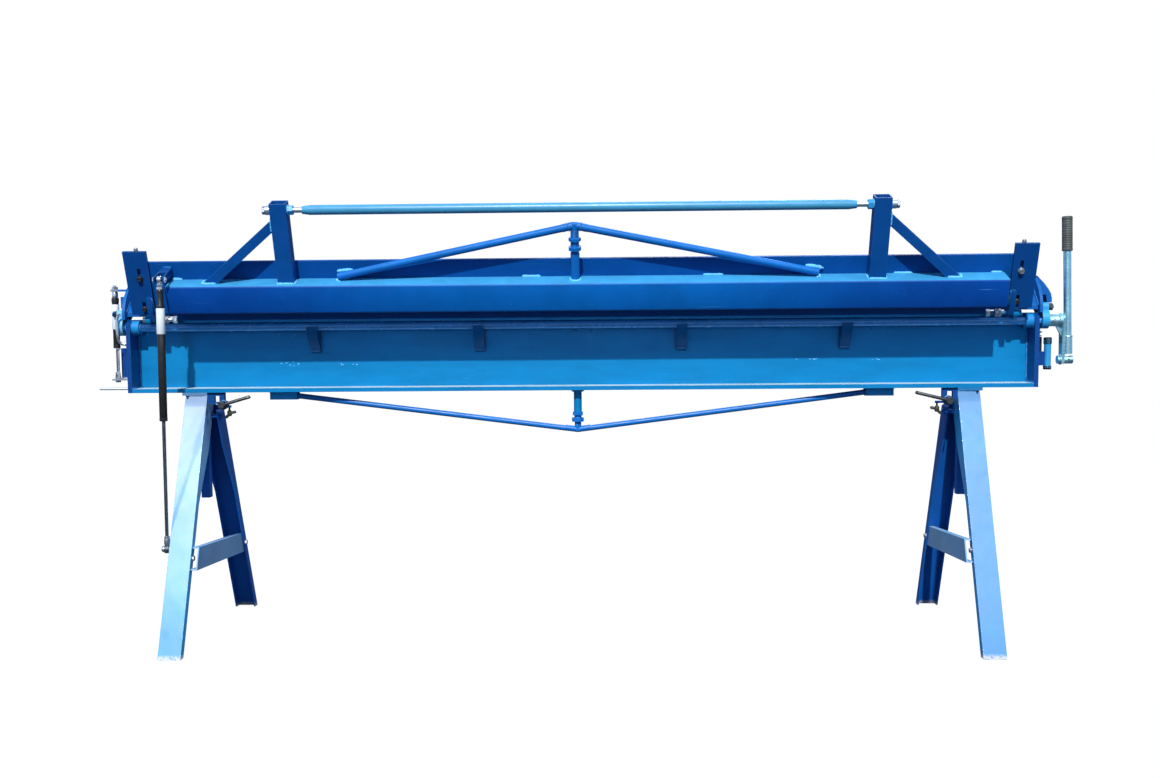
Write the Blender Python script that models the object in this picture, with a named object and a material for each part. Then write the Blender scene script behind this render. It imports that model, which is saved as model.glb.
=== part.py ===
# Sheet metal brake with a raised bending leaf on two trestle stands.
# Metres, +Z up, +X to the operator's right-hand side of the picture,
# -Y towards the operator. The origin is on the floor under the middle.
import math

import bmesh
import bpy
import numpy as np
from mathutils import Matrix, Vector

# ------------------------------------------------------------------ sizes
GAP = 0.0003                 # clearance between pieces that touch

BASE_HALF = 1.303            # half length over the end plates
END_T = 0.012                # end plate thickness
CH_BOT, CH_TOP = 0.719, 0.930      # lower beam, underside and bed face
CH_FRONT, CH_BACK = -0.090, -0.010
CH_WEB = 0.008
CH_FL_LO, CH_FL_UP = 0.012, 0.0095
NOTCH_X, NOTCH_Y = 1.135, -0.069   # corner cut for the leaf hinges

HINGE_Y, HINGE_Z = -0.094, 0.930   # axis of the bending leaf
LEAF_LEAN = math.radians(20.0)     # leaf stands 70 degrees up
PLATE_HALF = 1.262
PLATE_T = 0.010
PLATE_U0, PLATE_U1 = 0.001, 0.1745
BOX_X0, BOX_X1 = -1.146, 1.184     # stiffener box of the leaf
BOX_U0, BOX_U1 = 0.0412, 0.1230
BOX_W1 = 0.075
BOX_WALL = 0.005
ARM_X0, ARM_X1 = 1.2035, 1.2700
ARM_TOP = 0.208

HANDLE_U, HANDLE_W = 0.328, 0.040
HANDLE_R, HANDLE_HALF = 0.01345, 0.752
UPR_U1 = 0.3505               # top of the uprights
BRACE_R = 0.0135

SHAFT_Y, SHAFT_Z, SHAFT_R = -0.062, 0.907, 0.012
SHAFT_BRACKETS = (-0.768, -0.288, 0.296, 0.766)
LINK_Z = 0.946               # pin of the eccentric links
LUG_X0, LUG_X1 = 1.3035, 1.3115    # end lugs of the clamp beam
LINK_X0, LINK_X1 = 1.3120, 1.3320  # eccentric links
ECC_R, ECC_OFF = 0.0175, 0.00566   # eccentrics that pull the clamp beam down
CLAMP_LIFT = 0.0085                # jaw height over the bed at rest
CLAMP_Y0, CLAMP_Y1 = -0.086, 0.078
CLAMP_H = 0.107
CLAMP_WALL = 0.005

LEG_W = 0.064
FRONT_LEG_X, REAR_LEG_X = 1.091, 1.067   # inner edges
LEG_T, LEG_D, LEG_LOW = 0.0045, 0.070, 0.028
FOOT_Y, TOP_Y, LEG_TOP = 0.345, 0.032, 0.705
PIV_Z = 0.645                # pivot bolt of the stand legs

STRUT_X = -1.164                   # x of the pin on the leg
STRUT_XT = -1.152                  # x of the eye on the leaf
STRUT_PIN = (-0.206, 0.284)        # y, z on the front leg
STRUT_EYE = (-0.2246, 1.0400)      # y, z on the leaf

# ---------------------------------------------------------------- start
for ob in list(bpy.data.objects):
    bpy.data.objects.remove(ob, do_unlink=True)

COLL = bpy.context.scene.collection


def material(name, rgb, rough, metal=0.0):
    m = bpy.data.materials.new(name)
    m.use_nodes = True
    b = m.node_tree.nodes["Principled BSDF"]
    b.inputs["Base Color"].default_value = (rgb[0], rgb[1], rgb[2], 1.0)
    b.inputs["Roughness"].default_value = rough
    b.inputs["Metallic"].default_value = metal
    return m


BLUE = material("blue_paint", (0.004, 0.085, 0.40), 0.35)
BLUE_L = material("light_blue_paint", (0.05, 0.33, 0.66), 0.35)
ZINC = material("zinc_steel", (0.62, 0.66, 0.70), 0.30, 1.0)
STEEL = material("dark_steel", (0.12, 0.13, 0.14), 0.45, 0.9)
BLACK = material("black_enamel", (0.012, 0.012, 0.014), 0.35)
RUBBER = material("black_rubber", (0.02, 0.02, 0.02), 0.75)
WHITE = material("white_sleeve", (0.85, 0.87, 0.90), 0.4)


def place(name, bm, mat, smooth_deg=None):
    bmesh.ops.recalc_face_normals(bm, faces=bm.faces)
    me = bpy.data.meshes.new(name)
    bm.to_mesh(me)
    bm.free()
    me.materials.append(mat)
    ob = bpy.data.objects.new(name, me)
    COLL.objects.link(ob)
    if smooth_deg:
        me.shade_smooth()
        me.set_sharp_from_angle(angle=math.radians(smooth_deg))
    return ob


def set_origin(ob, p):
    """Move the object's origin to p and leave the mesh where it is."""
    ob.data.transform(Matrix.Translation(-Vector(p)))
    ob.location = Vector(p)


def hide(ob):
    ob.hide_render = True
    ob.display_type = 'WIRE'
    return ob


def boolean(ob, other, op='DIFFERENCE'):
    hide(other)
    m = ob.modifiers.new(op.lower() + "_" + other.name, 'BOOLEAN')
    m.operation = op
    m.solver = 'EXACT'
    m.object = other


def weld(ob, *others):
    for other in others:
        boolean(ob, other, 'UNION')
    return ob


# Local frames: a function maps (a, b, c) to the world. The leaf frame is
# x along the hinge, u up along the leaf, w out towards the operator.
CL, SL = math.cos(LEAF_LEAN), math.sin(LEAF_LEAN)


def leaf(x, u, w):
    return Vector((x, HINGE_Y - SL * u - CL * w, HINGE_Z + CL * u - SL * w))


def world(x, y, z):
    return Vector((x, y, z))


def prism(bm, pts, lo, hi, fn):
    """Extrude the outline pts (a, b) from lo to hi through fn(lo, a, b)."""
    v0 = [bm.verts.new(fn(lo, a, b)) for a, b in pts]
    v1 = [bm.verts.new(fn(hi, a, b)) for a, b in pts]
    n = len(pts)
    for i in range(n):
        j = (i + 1) % n
        bm.faces.new((v0[i], v0[j], v1[j], v1[i]))
    bm.faces.new(v0[::-1])
    bm.faces.new(v1)


def ring_prism(bm, outer, inner, lo, hi, fn):
    """Extruded hollow section, open at both ends."""
    n = len(outer)
    rows = []
    for s in (lo, hi):
        rows.append([bm.verts.new(fn(s, a, b)) for a, b in outer])
        rows.append([bm.verts.new(fn(s, a, b)) for a, b in inner])
    o0, i0, o1, i1 = rows
    for k in range(n):
        j = (k + 1) % n
        bm.faces.new((o0[k], o0[j], o1[j], o1[k]))
        bm.faces.new((i0[k], i1[k], i1[j], i0[j]))
        bm.faces.new((o0[k], i0[k], i0[j], o0[j]))
        bm.faces.new((o1[k], o1[j], i1[j], i1[k]))


def extruded(name, pts, lo, hi, mat, fn=world, smooth=None):
    bm = bmesh.new()
    prism(bm, pts, lo, hi, fn)
    return place(name, bm, mat, smooth)


def hollow(name, outer, inner, lo, hi, mat, fn=world, smooth=None):
    bm = bmesh.new()
    ring_prism(bm, outer, inner, lo, hi, fn)
    return place(name, bm, mat, smooth)


def box(name, p0, p1, mat, fn=world):
    (x0, y0, z0), (x1, y1, z1) = p0, p1
    return extruded(name, [(y0, z0), (y1, z0), (y1, z1), (y0, z1)],
                    x0, x1, mat, fn)


def basis(axis):
    a = Vector(axis).normalized()
    h = Vector((0, 0, 1)) if abs(a.z) < 0.9 else Vector((0, 1, 0))
    s = a.cross(h).normalized()
    return a, s, s.cross(a).normalized()


def turned(name, p, axis, prof, mat, seg=20, smooth=35, phase=0.0, closed=False):
    """Turn the profile [(distance along the axis, radius)] about the axis.
    A closed profile is a ring with a bore; an open one starts and ends
    with flat caps."""
    a, s, t = basis(axis)
    p = Vector(p)
    bm = bmesh.new()
    rings = []
    for d, r in prof:
        ring = []
        for k in range(seg):
            th = phase + 2 * math.pi * k / seg
            ring.append(bm.verts.new(p + a * d + (s * math.cos(th) + t * math.sin(th)) * r))
        rings.append(ring)
    m = len(rings)
    for i in range(m if closed else m - 1):
        A, B = rings[i], rings[(i + 1) % m]
        for k in range(seg):
            j = (k + 1) % seg
            bm.faces.new((A[k], A[j], B[j], B[k]))
    if not closed:
        bm.faces.new(rings[0][::-1])
        bm.faces.new(rings[-1])
    return place(name, bm, mat, smooth)


def rod(name, p0, p1, r, mat, seg=20):
    d = Vector(p1) - Vector(p0)
    return turned(name, p0, d, [(0, r), (d.length, r)], mat, seg)


def pipe(name, p0, p1, ro, ri, mat, seg=20):
    d = Vector(p1) - Vector(p0)
    L = d.length
    return turned(name, p0, d, [(0, ri), (0, ro), (L, ro), (L, ri)], mat, seg, closed=True)


def nut(name, p, axis, flats, height, bore, mat):
    """Hexagon nut with a round bore, as a 12-sided ring."""
    a, s, t = basis(axis)
    p = Vector(p)
    bm = bmesh.new()
    R = flats / math.sqrt(3)
    rows = []
    for d in (0.0, height):
        out, inn = [], []
        for k in range(12):
            th = math.pi * k / 6
            r = R if k % 2 == 0 else flats / 2
            out.append(bm.verts.new(p + a * d + (s * math.cos(th) + t * math.sin(th)) * r))
            inn.append(bm.verts.new(p + a * d + (s * math.cos(th) + t * math.sin(th)) * bore))
        rows.append((out, inn))
    (o0, i0), (o1, i1) = rows
    for k in range(12):
        j = (k + 1) % 12
        bm.faces.new((o0[k], o0[j], o1[j], o1[k]))
        bm.faces.new((i0[k], i1[k], i1[j], i0[j]))
        bm.faces.new((o0[k], i0[k], i0[j], o0[j]))
        bm.faces.new((o1[k], o1[j], i1[j], i1[k]))
    return place(name, bm, mat)


def arc(cx, cy, r, a0, a1, n):
    return [(cx + r * math.cos(math.radians(a0 + (a1 - a0) * k / n)),
             cy + r * math.sin(math.radians(a0 + (a1 - a0) * k / n))) for k in range(n + 1)]


SIDES = (("left", -1), ("right", 1))

# ================================================================ base beam
# C section: outline in (y, z), run along x.
t, lo, up = CH_WEB, CH_FL_LO, CH_FL_UP
c_section = [(CH_FRONT, CH_BOT), (CH_BACK, CH_BOT), (CH_BACK, CH_TOP), (CH_FRONT, CH_TOP),
             (CH_FRONT, CH_TOP - up), (CH_BACK - t, CH_TOP - up),
             (CH_BACK - t, CH_BOT + lo), (CH_FRONT, CH_BOT + lo)]
inner_x = BASE_HALF - END_T - GAP
base = extruded("base_channel", c_section, -inner_x, inner_x, BLUE)
for side, s in SIDES:
    a, b = sorted((s * NOTCH_X, s * (inner_x + 0.01)))
    boolean(base, box("cut_notch_" + side, (a, CH_FRONT - 0.01, CH_TOP - up - 0.003),
                      (b, NOTCH_Y, CH_TOP + 0.01), BLUE))
    a, b = sorted((s * 1.2620, s * (inner_x + 0.01)))
    boolean(base, box("cut_corner_" + side, (a, CH_FRONT - 0.012, CH_TOP - up - 0.004),
                      (b, -0.0380, CH_TOP + 0.012), BLUE))

# Hinge ears of the leaf, welded into the notches of the bed.
for side, s in SIDES:
    a, b = sorted((s * 1.2245, s * 1.2395))
    pts = [(NOTCH_Y + 0.004, CH_TOP - up + 0.0015), (NOTCH_Y + 0.004, CH_TOP - 0.0006)]
    pts += arc(HINGE_Y, HINGE_Z, 0.0135, -3, 270, 16)
    pts += [(HINGE_Y + 0.012, CH_TOP - up - 0.0040), (HINGE_Y + 0.014, CH_TOP - up + 0.0015)]
    weld(base, extruded("add_ear_" + side, pts, a, b, BLUE))

# Four half bearings under the bed flange carry the clamp shaft.
for i, x in enumerate(SHAFT_BRACKETS):
    web_y = CH_BACK - CH_WEB + 0.002
    zt = CH_TOP - up + 0.002
    pts = [(web_y, 0.826), (web_y, zt), (SHAFT_Y + 0.0126, zt)]
    pts += arc(SHAFT_Y, SHAFT_Z, 0.0126, 0, -180, 12)
    pts += [(SHAFT_Y - 0.0175, SHAFT_Z), (SHAFT_Y - 0.0175, SHAFT_Z - 0.012),
            (SHAFT_Y - 0.010, SHAFT_Z - 0.030), (web_y - 0.018, 0.838)]
    weld(base, extruded("add_bearing_%d" % (i + 1), pts, x - 0.015, x + 0.015, BLUE))

# Anchors and post of the lower truss, welded under the beam.
TR_APEX = 0.6045
TR_X = -0.0045                 # the two screw posts stand a little off the middle
ANCHOR = {-1: 0.8185, 1: 0.8225}
for side, s in SIDES:
    x0, x1 = sorted((s * ANCHOR[s], s * (ANCHOR[s] + 0.0790)))
    weld(base, box("add_trbr_" + side, (x0, -0.064, 0.6960), (x1, -0.036, CH_BOT + 0.004), BLUE))
weld(base, turned("add_trpost", (TR_X, -0.050, CH_BOT + 0.004), (0, 0, -1),
                  [(0, 0.017), (0.010, 0.017), (0.010, 0.0115), (0.068, 0.0115)], BLUE, 16))
for side, s in SIDES:
    boolean(base, rod("cut_ear_" + side, (s * 1.20, HINGE_Y, HINGE_Z), (s * 1.26, HINGE_Y, HINGE_Z),
                      0.00635, BLUE, 20))

# Tie rods and the tensioning screw at the apex.
for side, s in SIDES:
    rod("lower_truss_rod_" + side, (s * (ANCHOR[s] - 0.0018), -0.050, 0.7060), (TR_X + s * 0.0125, -0.050, TR_APEX), 0.0080,
        BLUE_L, 14)
turned("lower_truss_screw", (TR_X, -0.050, CH_BOT - 0.064 - GAP), (0, 0, -1),
       [(0, 0.0140), (0.011, 0.0140), (0.011, 0.0105), (0.017, 0.0105), (0.017, 0.0150),
        (0.029, 0.0150), (0.029, 0.0095), (0.0560, 0.0095)], BLUE_L, 6, smooth=None)

# End plates. Each carries the boss of the clamp shaft; the left one also
# has the foot of the lift strut and a thin stop pin, the right one the
# arm of the spring unit.
XS, YS = -1.3470, -0.0450      # lift strut on the left
XG, YG = 1.3225, -0.0200       # guide rod on the right
XR = 1.3490                    # spring housing on the right
for side, s in SIDES:
    a, b = sorted((s * (BASE_HALF - END_T), s * BASE_HALF))
    plate = extruded("end_plate_" + side,
                     [(CH_FRONT, CH_BOT), (CH_BACK, CH_BOT), (CH_BACK, CH_TOP),
                      (CH_FRONT + 0.021, CH_TOP), (CH_FRONT, CH_TOP - 0.012)],
                     a, b, BLUE)
    boss = rod("add_boss_" + side, (s * (BASE_HALF - END_T + 0.004), SHAFT_Y, SHAFT_Z),
               (s * 1.2690, SHAFT_Y, SHAFT_Z), 0.0205, BLUE_L, 24)
    if s < 0:
        foot = box("add_foot", (-1.3560, -0.0700, 0.7550), (-BASE_HALF + 0.004, -0.0200, 0.7590), BLUE)
        back = box("add_footback", (-1.3368, -0.0420, 0.7570), (-BASE_HALF + 0.004, -0.0340, 0.8480), BLUE)
        pin = rod("add_pin", (-BASE_HALF + 0.004, -0.0750, 0.7310), (-1.3900, -0.0750, 0.7310),
                  0.0035, ZINC, 10)
        weld(plate, boss, foot, back, pin)
    else:
        arm = box("add_arm", (BASE_HALF - 0.004, -0.0320, 0.7780), (XR - 0.0100 - GAP, -0.0100, 0.8180), BLUE)
        weld(plate, boss, arm)
    boolean(plate, rod("cut_bore_" + side, (s * 1.25, SHAFT_Y, SHAFT_Z), (s * 1.35, SHAFT_Y, SHAFT_Z),
                       SHAFT_R + 0.0004, BLUE, 24))


# ------------------------------------------------------------ the stands
def leg_y(z):
    """Distance of a leg's outer face from the middle of the stand."""
    return FOOT_Y + (TOP_Y - FOOT_Y) * z / LEG_TOP


def leg(name, x0, s, front, ztop, mat):
    """A U-section leg with its web outwards, leaning to the middle."""
    sgn = -1 if front else 1
    a, b = x0, x0 + LEG_W
    pts = [(a, 0), (b, 0), (b, LEG_D), (b - LEG_T, LEG_D), (b - LEG_T, LEG_T),
           (a + LEG_T, LEG_T), (a + LEG_T, LEG_D), (a, LEG_D)]
    return extruded(name, pts, 0.0, ztop, mat,
                    fn=lambda z, x, d: Vector((s * x, sgn * (leg_y(z) - d), z)))


# lug: inner and outer edge, its window, clamp screw, knob, end of the bar
LUGS = {-1: (1.0255, 1.0732, 1.0403, 1.0548, 1.0290, 1.0150, 0.9503),
        1: (1.0353, 1.0794, 1.0492, 1.0652, 1.0520, 1.0230, 0.9599)}

for side, s in SIDES:
    f = leg("front_leg_" + side, FRONT_LEG_X, s, True, 0.7105, BLUE_L)
    r = leg("rear_leg_" + side, REAR_LEG_X, s, False, 0.6790, BLUE)
    # the rear leg has a rounded head
    xa, xb = REAR_LEG_X - 0.004, REAR_LEG_X + LEG_W + 0.004
    crown = [(xa, 0.700), (xa, 0.6560)]
    for k in range(9):
        q = -1 + 2 * k / 8.0
        crown.append((REAR_LEG_X + LEG_W / 2 + q * LEG_W / 2, 0.6788 - 0.0200 * q * q))
    crown += [(xb, 0.6560), (xb, 0.700)]
    boolean(r, extruded("cut_crown_" + side, [(s * x, z) for x, z in crown], -0.060, 0.080, BLUE,
                        fn=lambda d, x, z: Vector((x, d, z))))
    # the flanges run out from the deep head to a shallow channel
    for ob, sg in ((f, -1), (r, 1)):
        ya = sg * (leg_y(-0.02) - LEG_LOW)
        yb = sg * (leg_y(0.400) - LEG_LOW)
        yc = sg * (leg_y(0.560) - LEG_D - 0.001)
        boolean(ob, extruded("cut_flange_%s_%d" % (side, sg),
                             [(ya, -0.02), (yb, 0.400), (yc, 0.560), (-sg * 0.300, 0.560), (-sg * 0.300, -0.02)],
                             s * 1.03, s * 1.19, BLUE))
    # saddle plate on which the beam rests, welded on the front leg
    a, b = sorted((s * 1.0830, s * 1.1560))
    weld(f, box("add_saddle_" + side, (a, -0.058, 0.7085), (b, 0.030, CH_BOT - GAP), BLUE_L))
    if s < 0:
        py, pz = STRUT_PIN
        weld(f, turned("add_strutpin", (-(FRONT_LEG_X + LEG_W) + 0.0025, py, pz), (-1, 0, 0),
                       [(0, 0.0080), (0.0050, 0.0080), (0.0050, 0.0048), (0.0182, 0.0048),
                        (0.0182, 0.0078), (0.0225, 0.0078)], ZINC, 14))
    for ob, nm in ((f, "front"), (r, "rear")):
        boolean(ob, rod("cut_pivot_%s_%s" % (nm, side), (s * 1.03, 0, PIV_Z), (s * 1.19, 0, PIV_Z),
                        0.0064, BLUE, 16))
    # pivot bolt through all four flanges and the post
    turned("stand_bolt_" + side, (s * 1.1633, 0, PIV_Z), (-s, 0, 0),
           [(0, 0.0110), (0.0080, 0.0110), (0.0080, 0.0060), (0.1010, 0.0060)], ZINC, 12)
    # folded spreader between the legs
    z0, z1 = (0.2120, 0.2740) if s < 0 else (0.2260, 0.2880)
    x0, x1 = REAR_LEG_X + LEG_T + GAP, FRONT_LEG_X - GAP
    pts = [(x0, z0), (x1, z0), (x1, z0 + 0.004), (x0 + 0.004, z0 + 0.004),
           (x0 + 0.004, z1 - 0.004), (x1, z1 - 0.004), (x1, z1), (x0, z1)]
    extruded("spreader_" + side, [(s * x, z) for x, z in pts], -1.0, 1.0, BLUE,
             fn=lambda d, x, z: Vector((x, d * (leg_y(z - 0.0159 * d) - 0.008), z - 0.0159 * d)))
    # square post that hangs on the pivot bolt
    a, b = sorted((s * 1.0980, s * 1.1240))
    post = hollow("stand_post_" + side,
                  [(a, -0.0130), (b, -0.0130), (b, 0.0130), (a, 0.0130)],
                  [(a + 0.003, -0.0100), (b - 0.003, -0.0100), (b - 0.003, 0.0100), (a + 0.003, 0.0100)],
                  0.4030, 0.6900, BLUE, fn=lambda z, x, y: Vector((x, y, z)))
    boolean(post, rod("cut_posthole_" + side, (s * 1.09, 0, PIV_Z), (s * 1.13, 0, PIV_Z), 0.0064, BLUE, 16))

    # clamp lug under the beam flange, with the boss of the clamp screw
    la, lb, ga, gb, sx, kx, be = LUGS[s]
    SX, SZ = s * sx, 0.6830
    a, b = sorted((s * la, s * lb))
    lug = box("clamp_lug_" + side, (a, -0.082, 0.6860), (b, -0.066, CH_BOT - GAP), BLUE)
    eye_ = rod("add_lugboss_" + side, (SX, -0.0850, SZ), (SX, -0.0640, SZ), 0.0125, BLUE, 20)
    a, b = sorted((s * (kx - 0.0050), s * (sx - 0.0080)))
    tail = box("add_lugtail_" + side, (a, -0.0750, 0.6745), (b, -0.0660, 0.6810), BLUE)
    weld(lug, eye_, tail)
    a, b = sorted((s * ga, s * gb))
    boolean(lug, box("cut_lug_" + side, (a, -0.10, 0.6912), (b, -0.04, 0.7090), BLUE))
    boolean(lug, rod("cut_lugbore_" + side, (SX, -0.10, SZ), (SX, -0.04, SZ), 0.0066, BLUE, 20))
    kx *= s
    boolean(lug, rod("cut_tailbore_" + side, (kx, -0.0705, 0.660), (kx, -0.0705, 0.6790), 0.0031, BLUE, 12))
    # clamp screw with its tommy bar
    sc = turned("clamp_screw_" + side, (SX, -0.1045, SZ), (0, 1, 0),
                [(0, 0.0095), (0.002, 0.0118), (0.0190, 0.0118), (0.0190, 0.0060), (0.0500, 0.0060)],
                STEEL, 18)
    bl = math.hypot(sx - be, 0.0225)
    bar = turned("add_bar_" + side, (SX, -0.0970, 0.6835), (s * be - SX, 0, 0.0225),
                 [(0, 0.0048), (bl - 0.0045, 0.0048), (bl - 0.0012, 0.0040), (bl, 0.0020)], STEEL, 12)
    weld(sc, bar)
    set_origin(sc, (SX, -0.069, SZ))
    # lock knob with a handle each side, on a thin stud in the tail
    knob = turned("lock_knob_" + side, (kx, -0.0705, 0.6785), (0, 0, -1),
                  [(0, 0.0028), (0.0120, 0.0028), (0.0120, 0.0048), (0.0145, 0.0060), (0.0270, 0.0060),
                   (0.0290, 0.0050)], BLACK, 14)
    w1 = turned("add_wing_%s_a" % side, (kx, -0.0705, 0.6580), (-s * 1.0, 0, 0.22),
                [(0, 0.0036), (0.0130, 0.0046), (0.0175, 0.0042), (0.0195, 0.0024)], BLACK, 10)
    w2 = turned("add_wing_%s_b" % side, (kx, -0.0705, 0.6545), (s * 1.0, 0, -0.80),
                [(0, 0.0036), (0.0100, 0.0046), (0.0140, 0.0044), (0.0160, 0.0026)], BLACK, 10)
    weld(knob, w1, w2)
    set_origin(knob, (kx, -0.0705, 0.6785))

# --------------------------------------------------------- bending leaf
# Bending plate, notched at its lower corners for the hinge ears.
n_x, n_u = 1.145, 0.021
outline = [(-PLATE_HALF, n_u), (-n_x, n_u), (-n_x, PLATE_U0), (n_x, PLATE_U0), (n_x, n_u),
           (PLATE_HALF, n_u), (PLATE_HALF, PLATE_U1), (-PLATE_HALF, PLATE_U1)]
extruded("leaf_plate", outline, 0.0, PLATE_T, BLUE, fn=lambda w, x, u: leaf(x, u, w))


def rounded(u0, u1, w0, w1, r, n=3):
    pts = []
    for (cu, cw, a0) in ((u1 - r, w1 - r, 0), (u0 + r, w1 - r, 90)):
        for k in range(n + 1):
            th = math.radians(a0 + 90.0 * k / n)
            pts.append((cu + r * math.cos(th), cw + r * math.sin(th)))
    return [(u1, w0)] + pts + [(u0, w0)]


# Folded stiffener box on the front of the plate.
w0 = PLATE_T + GAP
outer = rounded(BOX_U0, BOX_U1, w0, BOX_W1, 0.006)
inner = rounded(BOX_U0 + BOX_WALL, BOX_U1 - BOX_WALL, w0 + BOX_WALL, BOX_W1 - BOX_WALL, 0.003)
hollow("leaf_box", outer, inner, BOX_X0, BOX_X1, BLUE, fn=leaf, smooth=40)

# Slotted end arms, bolted to the plate, each with an ear on the hinge pin.
du = leaf(0, 1, 0) - leaf(0, 0, 0)
dw = leaf(0, 0, 1) - leaf(0, 0, 0)
for side, s in SIDES:
    wa, wb = PLATE_T + GAP, PLATE_T + GAP + 0.010
    arm = extruded("leaf_arm_" + side,
                   [(s * ARM_X0, 0.022), (s * ARM_X1, 0.022), (s * ARM_X1, ARM_TOP), (s * ARM_X0, ARM_TOP)],
                   wa, wb, BLUE, fn=lambda w, x, u: leaf(x, u, w))
    xa, xb = sorted((s * 1.2040, s * 1.2190))
    pts = [(0.0200, wa + 0.0010), (0.0750, wa + 0.0010), (0.0750, wb + 0.006), (0.0350, wb + 0.016),
           (0.0050, 0.0300)] + [(0.0135 * math.cos(math.radians(a)), 0.0135 * math.sin(math.radians(a)))
                                for a in range(100, 361, 20)]
    weld(arm, extruded("add_armear_" + side, pts, xa, xb, BLUE, fn=leaf))
    boolean(arm, rod("cut_armbore_" + side, (s * 1.19, HINGE_Y, HINGE_Z), (s * 1.23, HINGE_Y, HINGE_Z),
                     0.00635, BLUE, 20))
    xm = s * (1.2310 if s < 0 else 1.2270)
    for k, (us0, us1) in enumerate(((0.1215, 0.1590), (0.0320, 0.0600))):
        boolean(arm, extruded("cut_slot_%s_%d" % (side, k),
                              [(xm - 0.0050, us0), (xm + 0.0050, us0), (xm + 0.0050, us1), (xm - 0.0050, us1)],
                              wa - 0.003, wb + 0.003, BLUE, fn=lambda w, x, u: leaf(x, u, w)))
    turned("arm_bolt_" + side, leaf(xm, 0.1300, wa + 0.0004), dw,
           [(0, 0.0040), (0.0100, 0.0040), (0.0100, 0.0095), (0.0116, 0.0095), (0.0116, 0.0068),
            (0.0180, 0.0068)], ZINC, 12)
    # height screw in the top of the arm
    boolean(arm, rod("cut_heightbore_" + side, leaf(xm, ARM_TOP - 0.020, (wa + wb) / 2),
                     leaf(xm, ARM_TOP + 0.004, (wa + wb) / 2), 0.0029, BLUE, 12))
    hs = turned("height_screw_" + side, leaf(xm, ARM_TOP - 0.0180, (wa + wb) / 2), du,
                [(0, 0.0026), (0.0183, 0.0026), (0.0183, 0.0055), (0.0265, 0.0055),
                 (0.0272, 0.0048)], ZINC, 12)
    set_origin(hs, leaf(xm, ARM_TOP, (wa + wb) / 2))
    # hinge pin: a bolt along the hinge axis with its nut inboard
    turned("hinge_pin_" + side, (s * 1.2480, HINGE_Y, HINGE_Z), (-s, 0, 0),
           [(0, 0.0095), (0.0070, 0.0095), (0.0070, 0.0060), (0.0560, 0.0060),
            (0.0560, 0.0098), (0.0740, 0.0098), (0.0740, 0.0060), (0.0875, 0.0060),
            (0.0875, 0.0085), (0.0990, 0.0085)], ZINC, 14)

# Uprights, braces, handle tube.
for side, s in SIDES:
    wc, hw, th = HANDLE_W, 0.0200, 0.004
    x0, x1 = (0.7865, 0.8320) if s < 0 else (0.8030, 0.8490)
    upr = hollow("upright_" + side,
                 [(s * x0, wc - hw), (s * x1, wc - hw), (s * x1, wc + hw), (s * x0, wc + hw)],
                 [(s * (x0 + th), wc - hw + th), (s * (x1 - th), wc - hw + th),
                  (s * (x1 - th), wc + hw - th), (s * (x0 + th), wc + hw - th)],
                 BOX_U1 + GAP, UPR_U1, BLUE, fn=lambda u, x, w: leaf(x, u, w))
    boolean(upr, rod("cut_uprhole_" + side, leaf(s * 0.76, HANDLE_U, HANDLE_W),
                     leaf(s * 0.88, HANDLE_U, HANDLE_W), 0.0076, BLUE, 16))
    # bolt that holds the handle tube through the upright
    turned("handle_bolt_" + side, leaf(s * (x1 + 0.0150), HANDLE_U, HANDLE_W), (-s, 0, 0),
           [(0, 0.0125), (0.0147, 0.0125), (0.0147, 0.0072), (0.1600, 0.0072)], ZINC, 16)
    # diagonal brace from the upright out to the box, ends cut to the faces
    ut, xf = (0.2863, 1.0255) if s < 0 else (0.2880, 1.0365)
    slope = (ut - BOX_U1) / (xf - x1)
    hu = 0.0130 * math.sqrt(1 + slope * slope)     # half height of the cut at the upright
    hx = hu / slope                                # half width of the cut at the box
    extruded("handle_brace_" + side,
             [(s * (x1 + GAP), ut + hu), (s * (xf + hx), BOX_U1 + GAP),
              (s * (xf - hx), BOX_U1 + GAP), (s * (x1 + GAP), ut - hu)],
             HANDLE_W - 0.0125, HANDLE_W + 0.0125, BLUE, fn=lambda w, x, u: leaf(x, u, w))

turned("handle_tube", leaf(0.0058 - HANDLE_HALF, HANDLE_U, HANDLE_W), (1, 0, 0),
       [(0, 0.0078), (0, 0.0105), (0.022, HANDLE_R), (2 * HANDLE_HALF - 0.022, HANDLE_R),
        (2 * HANDLE_HALF, 0.0105), (2 * HANDLE_HALF, 0.0078)], BLUE_L, 20, closed=True)

# Upper truss: two tie bars and the screw post between them.
for side, s in SIDES:
    rod("leaf_truss_bar_" + side, leaf(TR_X + s * 0.0160, 0.2740, 0.042), leaf(s * 0.668, 0.1340, 0.0290),
        0.0105, BLUE, 14)
turned("leaf_truss_screw", leaf(TR_X, BOX_U1 + GAP, 0.042), du,
       [(0, 0.0125), (0.078, 0.0125), (0.078, 0.0110), (0.0845, 0.0110), (0.0845, 0.0160),
        (0.0955, 0.0160), (0.0955, 0.0118), (0.1105, 0.0118), (0.1105, 0.0145), (0.1205, 0.0145),
        (0.1205, 0.0115), (0.1610, 0.0115)], BLUE, 12)

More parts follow.
